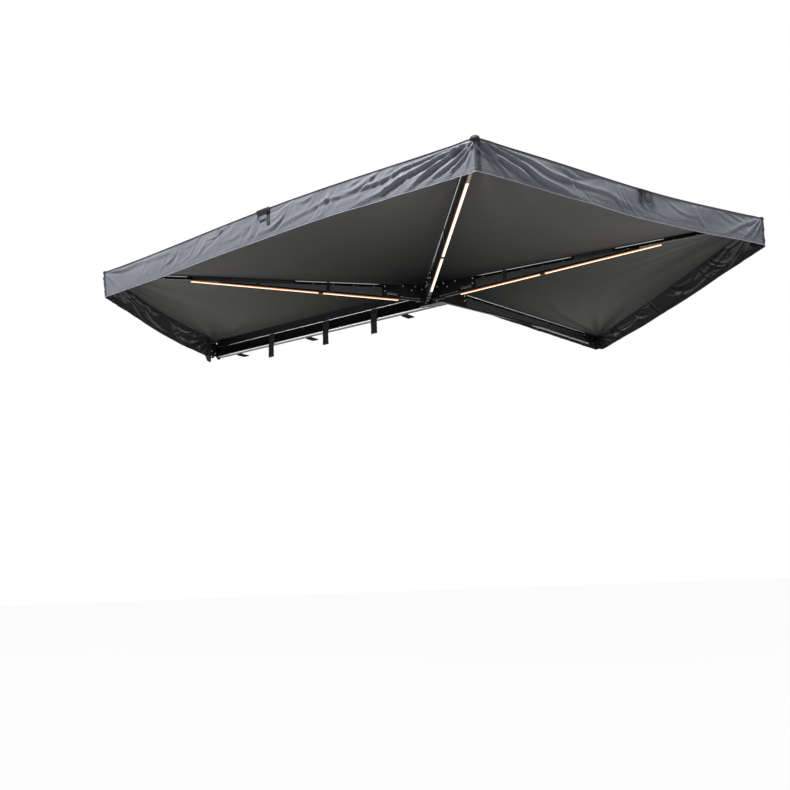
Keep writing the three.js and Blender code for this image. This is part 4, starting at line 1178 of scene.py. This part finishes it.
# %% Short valance
SHORT_SPAN = (-0.0655, 0.006)
share = np.linspace(*SHORT_SPAN, 40)
down = np.linspace(0.0, 0.24, 16)[:, None]
length = VALANCE_LENGTHS[1]
cloth_on(
    1, "front_corner_gusset", valance_point(1, share[None, :], down, lift=-0.0014), CLOTH,
    VALANCE_FACING[1], [CANVAS, DARK_LINING],
    uv=joined((share[None, :] + 0.07) * length, down * VALANCE_DROP),
)
stitches_on(1, "front_gusset_stitches", [valance_point(1, share, 0.20)], THREAD, 0.0055)
print("short valance length", round(float((SHORT_SPAN[1] - SHORT_SPAN[0]) * length), 3))

# %% [markdown]
# ### Tabs at the middle of two valances
#
# The closed awning is rolled into its cover with two tabs of webbing. Each is sewn to the canopy's
# edge, passes through a flat loop and hangs down over the valance. A strip could be wrapped on by
# a modifier. With the valance's formula and a lift it lies on the cloth at every point by itself.

# %% Webbing tabs with their loops
# Half width and half height of the loop, as shares of the valance's length and drop
LOOP_SIZE = (0.026 / 2.23, 0.034 / VALANCE_DROP)


def hanging(name, panel, middle, widths, drop, lift, thickness, finish):
    """A strip that hangs over a valance: middle is its place along the edge, widths at its top and
    foot in metres, drop its length."""
    facing = VALANCE_FACING[panel]
    down = np.linspace(0.0, 1.0, 26)[:, None]
    width = widths[0] + (widths[1] - widths[0]) * down
    side = middle + width / VALANCE_LENGTHS[panel] * np.linspace(-0.5, 0.5, 10)[None, :]
    hung = valance_point(panel, side, down * drop / VALANCE_DROP, lift)
    over = hung[:1] + UP * 0.004 - facing * 0.002
    back = over - facing * 0.030 + UP * 0.001
    lay = np.concatenate([back, over, hung])
    cloth_on(
        panel, name, lay, thickness, facing + UP * 0.1, finish,
    )
    return lay


def tab_bar(panel, middle, width, height):
    """A moulded slide that stands over the canopy's edge."""
    at = middle + width / VALANCE_LENGTHS[panel] * np.linspace(-0.5, 0.5, 12)
    path = valance_point(panel, at, 0.05, 0.011, creased=False)
    section = rounded(0.008, height, 0.003)
    bar_on(panel, f"tab_bar_{panel}", path, section, UP, PLASTIC)


hanging("tab_strap_2", 2, 0.5200, (0.038, 0.026), 0.100, 0.0030, 0.0016, WEBBING)
lay = hanging("valance_tab_2", 2, 0.5070, (0.064, 0.062), 0.060, 0.0065, 0.0022, GREY_WEBBING)
box = [lay[-2, 1:-1], lay[6:-2, 1], lay[6:-2, -2]]
rows = [row + VALANCE_FACING[2] * 0.0003 for row in box]
stitches_on(2, "valance_tab_stitches_2", rows, DARK_THREAD, 0.005)
tab_bar(2, 0.5095, 0.104, 0.026)
hanging("valance_tab_3", 3, 0.5160, (0.050, 0.018), 0.088, 0.0050, 0.0020, WEBBING)
tab_bar(3, 0.5240, 0.080, 0.012)
turn = np.linspace(-0.5 * math.pi, 1.5 * math.pi, 60)
share = 0.5440 + LOOP_SIZE[0] * np.cos(turn)
path = valance_point(3, share, LOOP_SIZE[1] * (1.05 + np.sin(turn)), lift=0.006)
bar_on(3, "tab_loop_3", path, circle(0.0022, 8), VALANCE_FACING[3], PLASTIC)
print("tabs: 2")

# %% [markdown]
# ## The side flap
#
# Along the last arm a deeper flap hangs down on the far side. It hangs free below the arm, so slack
# runs through it in slanting folds. It has a formula of its own, along the arm, with a rolled
# lower edge and two rows of stitches like the valances.

# %% Side flap
FLAP_START = 0.3403
FLAP_END = 2.292
FLAP_SIDE = 0.0143
FLAP_ROOT_DROP = 0.085
FLAP_DROP = 0.120
FLAP_FOLDS = 5
FLAP_CREASES = 40


def flap_drop(share):
    """Depth of the flap at a share of its length."""
    return FLAP_ROOT_DROP + (FLAP_DROP - FLAP_ROOT_DROP) * share


def flap_relief(share, down):
    """Ridges exp(-|d / w|^1.5) that lean along the flap, only on its lower part."""
    rng = np.random.default_rng(7)
    centres = rng.uniform(0.4, 2.2, FLAP_CREASES)
    leans = rng.normal(0.5, 0.2, FLAP_CREASES)
    widths = rng.uniform(0.01, 0.03, FLAP_CREASES)
    sizes = rng.uniform(0.001, 0.003, FLAP_CREASES)
    reach = FLAP_START + (FLAP_END - FLAP_START) * share
    relief = 0.0
    for centre, lean, width, size in zip(centres, leans, widths, sizes):
        aside = reach - centre - lean * flap_drop(share) * down
        relief = relief + size * np.exp(-np.abs(aside / width) ** 1.5)
    return relief * smooth((down - 0.30) / 0.4)


def flap_point(share, down, lift=0.0):
    """Points of the flap's outer side along the last arm."""
    reach = FLAP_START + (FLAP_END - FLAP_START) * share
    swing = (1 - np.cos(2 * math.pi * FLAP_FOLDS * share)) / 2
    side = FLAP_SIDE + CLOTH + 0.003 * swing * down + flap_relief(share, down) + lift
    return on_arm(4, reach, side, -flap_drop(share) * down)


share = np.linspace(0, 1, 380)[None, :]
down = np.linspace(0, 1, 36)[:, None]
cloth_on(
    "arm_4", "side_flap_cloth", flap_point(share, down), CLOTH, SIDE[4], [CANVAS, DARK_LINING],
    instead_of="side_flap",
    uv=joined(share * (FLAP_END - FLAP_START), down * FLAP_DROP), relief=flap_relief(share, down),
)
edge = flap_point(np.linspace(0, 1, 300), 1.0)
bar_on("arm_4", "side_flap_rolled_edge", edge, circle(0.0022, 8), UP, PIPING)
rows = [flap_point(np.linspace(0.005, 0.995, 900), depth, lift=0.0003) for depth in (0.82, 0.95)]
stitches_on("arm_4", "side_flap_stitches", rows, THREAD, 0.006)
print("side flap length", round(FLAP_END - FLAP_START, 3))

# %% [markdown]
# ### The zip tape
#
# A pale tape along the flap's inner face takes a side wall. It is a narrow sheet just inside the
# flap's formula, so it follows the flap's folds but keeps its own even height.

# %% Zip tape inside the flap
TAPE_START = 1.27
reach = np.linspace(TAPE_START, 2.16, 120)[None, :]
height = -0.066 - 0.011 * (reach - TAPE_START) / 0.86 - np.linspace(0.0, 0.012, 5)[:, None]
share = (reach - FLAP_START) / (FLAP_END - FLAP_START)
lay = flap_point(share, -height / flap_drop(share)) - SIDE[4] * 0.0030
lay[..., 2] = HUB[2] + height
cloth_on(
    "arm_4", "side_zip_tape", lay, 0.0008, -SIDE[4], PALE_TAPE,
    uv=joined(reach, height),
)
print("zip tape length", round(float(reach[0, -1] - reach[0, 0]), 3))

# %% [markdown]
# ### The corner between the last valance and the flap
#
# A narrow gusset joins the last valance to the flap round the arm's tip. It is a ruled surface
# between their two ends, bulged a little outward. Two press studs hold the flap's end.

# %% Corner gusset and press studs
GUSSET_END = 0.9985
STUD = turned_shape(
    [(0.0075, -0.0004), (0.0075, 0.0012), (0.0062, 0.0022), (0.0030, 0.0027), (0.0006, 0.0022)]
)
STUD_PLACES = ((2.238, -0.066), (2.252, -0.088))
down = np.linspace(0.02, 0.985, 40)
valance_end = valance_point(4, GUSSET_END, down, lift=-0.0004)
flap_end = flap_point(GUSSET_END, down, lift=-0.0004)
t = np.linspace(0, 1, 9)[:, None, None]
bulge = (OUT[4] * 0.7 + SIDE[4] * 0.7) * 0.004 * np.sin(math.pi * t)
cloth_on(
    "arm_4", "rear_corner_gusset", valance_end * (1 - t) + flap_end * t + bulge, 0.0009,
    OUT[4] + SIDE[4], [CANVAS, DARK_LINING],
    uv=joined(t[..., 0] * 0.02, down[None, :] * FLAP_DROP),
)
places = [on_arm(4, reach, FLAP_SIDE - 0.0010, height) for reach, height in STUD_PLACES]
fixed(stamped("flap_press_studs", STUD, places, -SIDE[4], STEEL), "arm_4")
print("corner gusset and press studs:", 1 + len(places))

# %% [markdown]
# ## The braces
#
# Under each arm a slim brace slopes up towards the tip. The light bars and straps follow it, so
# they need its place: a straight line in the arm's own plane, height = slope * reach - root.

# %% The braces' slopes
# The brace below each arm: its height under the pivot, its slope and its half height
BRACE_ROOT = 0.116
BRACE_RISE = 0.006
WEB_DEPTH = 0.0837
BRACE_RISE_SHARES = {1: 1.511, 2: 0.371, 3: 1.511, 4: 0.989}
BRACE_SLOPES = {arm: WEB_DEPTH * share / REACH for arm, share in BRACE_RISE_SHARES.items()}


def brace_height(arm, reach):
    """Height of the brace's middle line at a distance along the arm: slope * reach - root."""
    return -BRACE_ROOT + BRACE_SLOPES[arm] * reach


def on_brace(arm, reach, side=0.0, above=0.0):
    """Points beside and square above the sloping brace of an arm, at distances along the arm."""
    slope = math.atan(BRACE_SLOPES[arm])
    height = brace_height(arm, reach) + above * math.cos(slope)
    return on_arm(arm, reach - above * math.sin(slope), side, height)


print("brace slopes:", {arm: round(slope, 4) for arm, slope in BRACE_SLOPES.items()})

# %% [markdown]
# ## Light bars
#
# A strip of warm diodes sits under each brace in an aluminium channel with a frosted cover that
# wraps round its sides. The cover is brightest along its middle and turns orange at its edges. A
# box with one glowing face would miss that, so the cover's outline is carried along the brace, and
# its flat coordinate tells the finish where the middle is. The second arm's channel runs on to the
# tip without diodes.

# %% Light covers and channels
LIGHT_START = 0.214
LIGHT_WIDTH = 0.018
LIGHT_DEPTH = 0.010
LIGHT_CORNER = 0.004
LIGHT_SPLIT = 0.026
LIGHT_CAP = 0.002
CLIP_SHARES = {1: 0.345, 2: 0.391, 3: 0.3665}
END_SHARES = {1: 0.746, 2: 0.87, 3: 0.726}

# The cover's outline below the brace: down one side, round two corners and up the other side
arc = np.linspace(0, math.pi / 2, 5)
inner = LIGHT_WIDTH / 2 - LIGHT_CORNER
low = LIGHT_CORNER - LIGHT_DEPTH
left = joined(-inner - LIGHT_CORNER * np.cos(arc), low - LIGHT_CORNER * np.sin(arc))
right = joined(inner + LIGHT_CORNER * np.sin(arc), low - LIGHT_CORNER * np.cos(arc))
top_left, top_right = [-LIGHT_WIDTH / 2, -0.002], [LIGHT_WIDTH / 2, -0.002]
COVER_OUTLINE = np.concatenate([[top_left], left, [[0.0, -LIGHT_DEPTH]], right, [top_right]])
COVER_ACROSS = run_along(COVER_OUTLINE) / run_along(COVER_OUTLINE)[-1]


def cover_rings(arm, reach):
    """The cover's outline at distances along an arm, under the brace."""
    below = -BRACE_RISE - 0.0003 + COVER_OUTLINE[None, :, 1]
    return on_brace(arm, reach[:, None], COVER_OUTLINE[None, :, 0], below)


for arm, clip_share in CLIP_SHARES.items():
    clip = REACH * clip_share
    spans = {
        "inner": (LIGHT_START, clip - LIGHT_SPLIT / 2),
        "outer": (clip + LIGHT_SPLIT / 2, REACH * END_SHARES[arm]),
    }
    for part, (start, end) in spans.items():
        reach = np.linspace(start + LIGHT_CAP, end - LIGHT_CAP, 60)
        flat = joined(COVER_ACROSS[None, :], reach[:, None])
        cover = loft(f"light_cover_{arm}_{part}", cover_rings(arm, reach), GLOW, uv=flat)
        fixed(cover, BODIES[arm], f"arm_{arm}_light_{part}")
        path = on_brace(arm, np.linspace(start, end, 8), 0.0, -BRACE_RISE - 0.0013)
        section = rounded(LIGHT_WIDTH - 0.0004, 0.0018, 0.0004)
        bar_on(BODIES[arm], f"light_base_{arm}_{part}", path, section, UP, ARM_GREY)
        for tag, at in (("root", start), ("tip", end - LIGHT_CAP)):
            rings = cover_rings(arm, np.array([at, at + LIGHT_CAP]))
            fixed(loft(f"light_end_{arm}_{part}_{tag}", rings, PLASTIC), BODIES[arm])
rings = cover_rings(2, np.linspace(REACH * END_SHARES[2] + LIGHT_CAP, 2.205, 12))
fixed(loft("unlit_cover_2", rings, TAN), "arm_2")
print("light bars: 6")

# %% [markdown]
# ## Fittings on the arms
#
# Bright edges of the extrusions, cap screws on the root castings, rivets along the webs, hook and
# loop straps round the arms and soft pouches complete the arms. Screws and rivets are one small
# turned profile each, copied to all their places on both sides of an arm.

# %% Screws and rivets
SCREW = turned_shape(
    [
        (0.0062, -0.0009), (0.0062, 0.0), (0.0050, 0.0), (0.0050, 0.0024), (0.0046, 0.0036),
        (0.0034, 0.0043), (0.0020, 0.0040, 6), (0.0020, 0.0015, 6), (0.0012, 0.0015, 6),
    ]
)
RIVET = turned_shape(
    [(0.0034, -0.0004), (0.0034, 0.0002), (0.0028, 0.0011), (0.0016, 0.0016), (0.0006, 0.0013)], 16
)
CHEEK_SIDE = 0.0148
WEB_SIDE = 0.0121
# Distance along the arm and height of the screws and rivets
CHEEK_SCREWS = (
    (0.035, -0.030), (0.085, -0.012), (0.115, -0.042), (0.180, -0.012), (0.318, -0.018),
    (0.318, -0.055),
)
WEB_RIVETS = [(reach, -0.0215) for reach in np.arange(0.40, 2.2, 0.15)]
SIDES = {"left": 1, "right": -1}


def on_both_sides(name, arm, shape, side, spots):
    """Copies a shape to spots of (reach, height) on both sides of an arm, facing outwards."""
    signs = SIDES.values()
    places = [on_arm(arm, reach, sign * side, height) for sign in signs for reach, height in spots]
    ways = [sign * SIDE[arm] for sign in signs for _ in spots]
    fixed(stamped(name, shape, places, ways, STEEL), BODIES[arm])


for arm in range(1, 5):
    on_both_sides(f"arm_{arm}_screws", arm, SCREW, CHEEK_SIDE, CHEEK_SCREWS)
    on_both_sides(f"arm_{arm}_rivets", arm, RIVET, WEB_SIDE, WEB_RIVETS)
print("screws:", 8 * len(CHEEK_SCREWS), "rivets:", 8 * len(WEB_RIVETS))

# %% [markdown]
# ### Cable cover and plate on the root castings
#
# The light's cable enters its bar through a short aluminium channel on the side of the root
# casting, held by two screws. A bare aluminium plate, riveted on, fills the place of a name plate.

# %% Cable channels, plates and latch bolts
CHANNEL_START = 0.050
PLATE_START = 0.222
LATCH_FACE = 1.0360
LATCH_BOLTS = ((-0.157, 0.056), (-0.116, 0.041), (-0.160, 0.007), (-0.102, 0.010), (-0.070, 0.058))


def channel_height(reach):
    """Height of the cable channel at a distance along the arm. It rises towards the light bar."""
    return -0.107 + (reach - CHANNEL_START) * 0.085


for arm in (1, 3):
    for side, sign in SIDES.items():
        reach = np.linspace(CHANNEL_START, 0.208, 12)
        path = on_arm(arm, reach, sign * (CHEEK_SIDE + 0.0012), channel_height(reach))
        section = rounded(0.0024, 0.0075, 0.0009)
        bar_on(BODIES[arm], f"arm_{arm}_cable_channel_{side}", path, section, UP, ARM_GREY)
        reach = np.linspace(PLATE_START, 0.306, 6)
        height = -0.076 + (reach - PLATE_START) * 0.05
        path = on_arm(arm, reach, sign * (CHEEK_SIDE + 0.0004), height)
        section = rounded(0.0009, 0.019, 0.0004)
        bar_on(BODIES[arm], f"arm_{arm}_plate_{side}", path, section, UP, BRIGHT_EDGE)
    spots = [(reach, channel_height(reach)) for reach in (0.066, 0.192)]
    on_both_sides(f"arm_{arm}_channel_screws", arm, RIVET, CHEEK_SIDE + 0.0022, spots)
places = [(x, LATCH_FACE, z) for x, z in LATCH_BOLTS]
fixed(stamped("latch_bolts", SCREW, places, (0.0, -1.0, 0.0), STEEL), "rail")
print("cable channels: 4, plates: 4, latch bolts:", len(places))

# %% [markdown]
# ### Bright edges
#
# The pale lines along the extrusions' rounded edges are painted highlights. A finish could paint
# them by the angle of the surface. Here each is a slim bar of pale aluminium let into the edge, so
# that it stays one clean line of one width.

# %% Bright edges of the extrusions
EDGE_SPANS = {
    1: ((0.352, 0.98), (1.74, 2.20)), 2: ((0.352, 2.20),), 3: ((0.352, 1.06), (1.36, 1.69)),
    4: ((0.352, 2.20),),
}


def by_hub(x, start, end, z, count=12):
    """A straight row of points along the rail, from start to end in front of the hub."""
    return HUB + joined(x, np.linspace(start, end, count), z)


for arm, spans in EDGE_SPANS.items():
    for side, sign in SIDES.items():
        for i, span in enumerate(spans):
            path = on_arm(arm, np.linspace(*span, 12), sign * 0.0118, -0.0048)
            name = f"arm_{arm}_edge_{side}_{i}"
            bar_on(BODIES[arm], name, path, circle(0.0032), UP, BRIGHT_EDGE)
# The rail's top edge and its round lip carry the same painted highlight bars
path = by_hub(-0.0132, 0.16, 2.24, -0.0650)
bar_on("rail", "rail_bright_edge", path, circle(0.0040), UP, BRIGHT_EDGE)
path = by_hub(0.0, 2.2421, 2.2662, -0.0310, 2)
bar_on("rail", "first_rafter_plug", path, rounded(0.0225, 0.0600, 0.002), UP, PLASTIC)
turn = np.linspace(math.radians(80), math.radians(262), 12)
arc = joined(np.cos(turn), np.sin(turn))
shell = np.concatenate([0.0078 * arc, 0.0071 * arc[::-1]])
bar_on("rail", "rail_lip_edge", by_hub(-0.014, 0.004, 2.238, -0.149), shell, UP, BRIGHT_EDGE)
print("bright edges:", 2 * sum(len(spans) for spans in EDGE_SPANS.values()) + 2)

# %% [markdown]
# ### Straps round the arms
#
# Hook and loop straps hold the folded arms together. Open, each is wound round its arm. A rounded
# rectangle gives the way round, and it is left open on top, where the canopy lies.

# %% Hook and loop straps
STRAP_REACHES = {1: (0.739, 1.245), 3: (0.565,), 2: (1.10,)}
STRAP_HALF_SIDE = 0.0148
width = np.linspace(-0.012, 0.012, 7)[:, None]
for arm, reaches in STRAP_REACHES.items():
    for i, reach in enumerate(reaches):
        low = brace_height(arm, reach) - 0.0085
        tall = -low - 0.002
        ring = rounded(2 * STRAP_HALF_SIDE, tall, 0.004, 5)
        ring = np.concatenate([ring, ring[:1]])
        ring = ring[ring[:, 1] < tall / 2 - 0.0005]
        lay = on_arm(arm, reach + width, ring[None, :, 0], (low - 0.001) / 2 + ring[None, :, 1])
        cloth_on(
            BODIES[arm], f"arm_{arm}_strap_{i}", lay, 0.0014, -UP, WEBBING,
        )
print("arm straps: 4")

# %% [markdown]
# ### Pouches
#
# Two long pouches are fixed to the arms. They are filled only loosely, so their outer face is
# crowned, with a flap and stitches along it. A simulation could fill them. A crown that falls off
# steeply at its four edges, sqrt(1 - max(|u|^30, |v|^5)), gives the same look and stays closed.

# %% Pouches on the first and third arm
# First and last share of the arm's length, and the arm's side
POUCHES = {1: (0.439, 0.739, 1), 3: (0.470, 0.587, -1)}
POUCH_DEPTH = 0.033
POUCH_BACK = 0.0127
POUCH_RIM = 0.0135
POUCH_FULLNESS = 0.0058
u = np.linspace(-1, 1, 180)[None, :]
v = np.linspace(-1, 1, 40)[:, None]
# The crown is flat in the middle and falls off steeply at all four edges
crown = np.clip(1 - np.maximum(np.abs(u) ** 30, np.abs(v) ** 5), 0, 1) ** 0.5
sagging = 0.0006 * np.sin(u * 19 + 2 * v) + 0.0004 * np.sin(u * 43 + 5 * v + 1.0)
flap_step = 0.0010 * smooth((-v + 0.16) / 0.04)
front = POUCH_RIM + (POUCH_FULLNESS + sagging + flap_step) * crown
height = -POUCH_DEPTH / 2 - v * (POUCH_DEPTH / 2 - 0.0004)
seam_rows = np.searchsorted(v[:, 0], (-0.86, -0.10, 0.86))
for arm, (first, last, sign) in POUCHES.items():
    reach = REACH * ((first + last) / 2 + u * (last - first) / 2)
    face = on_arm(arm, reach, sign * front, height)
    back = on_arm(arm, reach, sign * POUCH_BACK, height)
    way = sign * SIDE[arm]
    flat = joined(reach, height)
    pouch = sheet(f"arm_{arm}_pouch", face, 0.0, way, WEBBING, uv=flat, inner=back)
    fixed(pouch, BODIES[arm], f"arm_{arm}_side_pocket")
    rows = [face[i, 6:-6] + way * 0.0003 for i in seam_rows]
    stitches_on(BODIES[arm], f"arm_{arm}_pouch_stitches", rows, DARK_THREAD, 0.005)
print("pouches:", len(POUCHES))

# %% [markdown]
# ### Storage straps on the rail
#
# Three webbing straps hang over the rail's face. They close round the rolled awning, and while it
# is open their free ends hang down. Each end is folded over and sewn with a box of stitches. The
# way of the strap is drawn in the plane across the rail and then spread over its width.

# %% Storage straps
RAIL_FACE = -0.014
RAIL_TOP = -0.062
RAIL_BOTTOM = -0.156
LIP = 0.007
STRAP_WIDTH = 0.058
STRAP_OFF = 0.0028
STRAP_FALL = 0.118
STRAP_PLACES = {"rear": 0.222, "middle": 0.435, "front": 0.695}
FORWARD = np.array([1.0, 0.0, 0.0])

# The strap's route in the plane across the rail: down its face, round its lip and free below it
lip_height = RAIL_BOTTOM + LIP
face_run = joined(RAIL_FACE - STRAP_OFF, np.linspace(RAIL_TOP - 0.003, lip_height + 0.013, 20))
around = np.pi - 1.35 * (1 - np.linspace(0, 1, 14))
bend = LIP + STRAP_OFF
lip_run = joined(RAIL_FACE + bend * np.cos(around), lip_height + bend * np.abs(np.sin(around)))
fall = np.linspace(0.02, 1, 60)
swing = 0.004 * np.sin(math.pi * fall) + 0.0012 * np.sin(9 * fall)
hang_run = joined(RAIL_FACE - bend - swing, lip_height - STRAP_FALL * fall)
route = np.concatenate([face_run, lip_run, hang_run])
width = np.linspace(-STRAP_WIDTH / 2, STRAP_WIDTH / 2, 15)[None, :]
down = np.linspace(0, 1, len(route))[:, None]
for i, (place, share) in enumerate(STRAP_PLACES.items()):
    curl = 0.0010 * np.sin(9 * down + 2 * i) * (width / 0.029) * down**2
    lay = HUB + joined(route[:, :1] + curl, REACH * share + width, route[:, 1:])
    cloth_on(
        "rail", f"storage_strap_cloth_{place}", lay, 0.0022, -FORWARD, WEBBING,
        instead_of=f"storage_strap_{place}",
    )
    end = lay[-16:] - FORWARD * 0.0016
    cloth_on(
        "rail", f"storage_strap_fold_{place}", end, 0.0018, -FORWARD, WEBBING,
    )
    box = [end[2, 2:-2], end[-3, 2:-2], end[2:-2, 2], end[2:-2, -3]]
    rows = [row - FORWARD * 0.0004 for row in box]
    stitches_on("rail", f"storage_strap_stitches_{place}", rows, DARK_THREAD, 0.004)
print("storage straps:", len(STRAP_PLACES))

# %% [markdown]
# ### The tension strap at the front corner
#
# A short strap pulls the first valance's end back to the first rafter's tip, so the corner over the
# latch stays square.

# %% Front tension strap
start = on_arm(0, 2.262, 0.004, -0.012)
end = on_arm(0, 2.262, 0.155, -0.030)
path = start + (end - start) * np.linspace(0, 1, 24)[:, None]
path[:, 2] -= 0.004 * np.sin(np.linspace(0, math.pi, 24))
lay = path[:, None] + UP * np.linspace(-0.009, 0.009, 7)[None, :, None]
cloth_on(1, "front_tension_strap", lay, 0.0016, OUT[0], WEBBING)
places = [on_arm(0, 2.2622, 0.012, -0.014)]
fixed(stamped("front_tension_screw", SCREW, places, OUT[0], STEEL), "rail")
print("tension strap length", round(float(np.linalg.norm(end - start)), 3))

# %% [markdown]
# ## Finishes of the frame's own solids
#
# The rigid solids keep their shapes. Each gets a small rounded edge, as cast and moulded parts
# have, so that it catches the light, and the finish of its real material. A bevel modifier does
# this without moving any face, once the loose triangles are welded.

# %% Rounded edges and finishes of the frame's nodes


def dress(node, finish, edge):
    """Gives a frame node one finish and a small rounded edge."""
    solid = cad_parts[node]
    solid.data.materials.clear()
    solid.data.materials.append(finish)
    weld = solid.modifiers.new("weld", "WELD")
    weld.merge_threshold = 0.00001
    bevel = solid.modifiers.new("edge", "BEVEL")
    bevel.width = edge
    bevel.segments = 2
    bevel.limit_method = "ANGLE"
    bevel.angle_limit = math.radians(40)
    bevel.harden_normals = True


DRESSED = {
    "mounting_rail": (ANODISED, 0.0005),
    "first_rafter": (RAFTER_GREY, 0.0004),
    "rail_cap_rear": (PLASTIC, 0.001),
    "rail_cap_front": (PLASTIC, 0.001),
    "hub_bracket": (CASTING, 0.0012),
    "front_latch_bracket": (CASTING, 0.001),
}
for place in STRAP_PLACES:
    DRESSED[f"mount_bracket_{place}"] = (FOOT, 0.0008)
    DRESSED[f"strap_buckle_{place}"] = (PLASTIC, 0.0008)
for arm in range(1, 5):
    DRESSED[f"king_pin_{arm}"] = (STEEL, 0.0008)
    DRESSED[f"arm_{arm}_root_casting"] = (CASTING, 0.0008)
    DRESSED[f"arm_{arm}_rafter"] = (ANODISED, 0.0004)
    DRESSED[f"arm_{arm}_web"] = (ANODISED if arm == 2 else ARM_GREY, 0.0004)
    DRESSED[f"arm_{arm}_tip_cap"] = (PLASTIC, 0.001)
    DRESSED[f"arm_{arm}_brace"] = (ANODISED, 0.0004)
for arm in CLIP_SHARES:
    DRESSED[f"arm_{arm}_light_clip"] = (PLASTIC, 0.0006)
for node, (finish, edge) in DRESSED.items():
    dress(node, finish, edge)
print("dressed nodes:", len(DRESSED))

# %% [markdown]
# ## The studio
#
# A pale floor, a plain bright surround and a few large soft lamps. The floor and the surround look
# white to the camera and in reflections, but light the object only at a plain level.

# %% Floor and surround
FLOOR_HEIGHT = -2.5
FLOOR_RADIUS = 45
FLOOR_WHITE = 0.96
SURROUND_LEVEL = 0.24


def floor_finish():
    """A pale floor that keeps the object's shadow. Seen directly it is mostly plain white, and from
    below it is clear, so that the awning can be looked at from there too."""
    made, tree, surface = new_material(
        "studio_floor", Roughness=0.9, Base_Color=(0.30, 0.30, 0.30, 1.0)
    )
    rays = add(tree, "LightPath").node.outputs
    seen = add(tree, "Math", rays["Is Camera Ray"], rays["Is Glossy Ray"], operation="MAXIMUM")
    seen = add(tree, "Math", seen, rays["Is Transmission Ray"], operation="MAXIMUM")
    white = add(tree, "Emission", Color=(1, 1, 1, 1), Strength=1.0)
    share = add(tree, "Math", seen, FLOOR_WHITE, operation="MULTIPLY")
    blend = add(tree, "MixShader", share, surface.outputs[0], white)
    below = add(tree, "NewGeometry", out="Backfacing")
    sided = add(tree, "MixShader", below, blend, add(tree, "BsdfTransparent"))
    wire(tree.nodes["Material Output"], Surface=sided)
    return made


disc = np.pad(circle(FLOOR_RADIUS, 96), ((0, 0), (0, 1)), constant_values=FLOOR_HEIGHT)
floor = piece("studio_floor", disc, [np.arange(96)[None, :]], floor_finish(), soft=False)
floor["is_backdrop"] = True

world = bpy.data.worlds.new("studio")
bpy.context.scene.world = world
world.use_nodes = True
sky = world.node_tree
rays = add(sky, "LightPath").node.outputs
seen = add(sky, "Math", rays["Is Camera Ray"], rays["Is Transmission Ray"], operation="MAXIMUM")
level = add(sky, "MapRange", seen, 0.0, 1.0, SURROUND_LEVEL, 1.0)
wire(sky.nodes["Background"], Color=(1, 1, 1, 1), Strength=level)
print("floor at", FLOOR_HEIGHT)

# %% [markdown]
# ### Lamps
#
# Outdoors the light comes from a bright part of the sky and, from below, off pale ground. One
# strong lamp stands for the first, and low weak ones for the second. They are large, so shadows
# stay soft.

# %% Lamps
# Each lamp's place, the point it is turned to, its width, height and power in watts
LAMPS = {
    "key_lamp": ((-5.4, -2.7, 5.7), (-1.3, -2.0, 0), 1.5, 1.5, 1500),
    "fill_lamp": ((-1.0, -9.0, 2.0), (0, -1.2, 0), 5.0, 3.0, 60),
    "top_lamp": ((1.5, -1.0, 6.5), (0, -1.2, 0), 5.0, 5.0, 90),
    "low_left_lamp": ((-3.6, 2.4, -2.3), (-1.3, 0.3, 0.16), 1.5, 1.5, 34),
    "low_right_lamp": ((2.6, -5.2, -2.3), (1.3, -2.6, 0.16), 1.5, 1.5, 56),
    "low_lamp": ((-5.5, -6.0, -2.2), (0, -1.5, 0.1), 5.0, 1.0, 16),
}
for name, (place, aim, width, height, power) in LAMPS.items():
    light = bpy.data.lights.new(name, "AREA")
    light.shape = "RECTANGLE"
    light.size, light.size_y = width, height
    light.energy = power
    lamp = bpy.data.objects.new(name, light)
    lamp.location = place
    lamp.rotation_mode = "QUATERNION"
    lamp.rotation_quaternion = (Vector(aim) - Vector(place)).to_track_quat("-Z", "Y")
    lamp.visible_camera = False
    bpy.context.scene.collection.objects.link(lamp)
print("lamps:", len(LAMPS))

# %% [markdown]
# ## The camera
#
# It stands low on the left rear side and looks up to the canopy's nearest corner. Its lens is
# given as a distance in pixels of the square picture. Yaw turns it from the rail's direction,
# pitch raises it and roll tilts it about its own line of sight.

# %% Camera
LENS_PIXELS = 926.918
PICTURE = 790
SENSOR = 36.0
CAMERA_PLACE = np.array([-5.67127, -4.87745, -1.99822])
YAW, PITCH, ROLL = 0.949786, 0.199190, -0.0355067
ahead = np.array(
    [math.sin(YAW) * math.cos(PITCH), math.cos(YAW) * math.cos(PITCH), math.sin(PITCH)]
)
right = np.array([math.cos(YAW), -math.sin(YAW), 0.0])
above = np.cross(right, ahead)
rolled_right = right * math.cos(ROLL) + above * math.sin(ROLL)
rolled_above = -right * math.sin(ROLL) + above * math.cos(ROLL)
optics = bpy.data.cameras.new("camera")
optics.sensor_width = SENSOR
optics.lens = SENSOR * LENS_PIXELS / PICTURE
optics.clip_start, optics.clip_end = 0.05, 200.0
camera = bpy.data.objects.new("camera", optics)
stance = np.eye(4)
stance[:3] = np.column_stack([rolled_right, rolled_above, -ahead, CAMERA_PLACE])
camera.matrix_world = Matrix(stance)
bpy.context.scene.collection.objects.link(camera)
bpy.context.scene.camera = camera
bpy.context.scene.view_settings.view_transform = "Standard"
print("lens", round(optics.lens, 2), "millimetres")

# %% Sizes and the end of the script
low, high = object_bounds()
print("dressed box", [round(v, 3) for v in (*low, *high)])
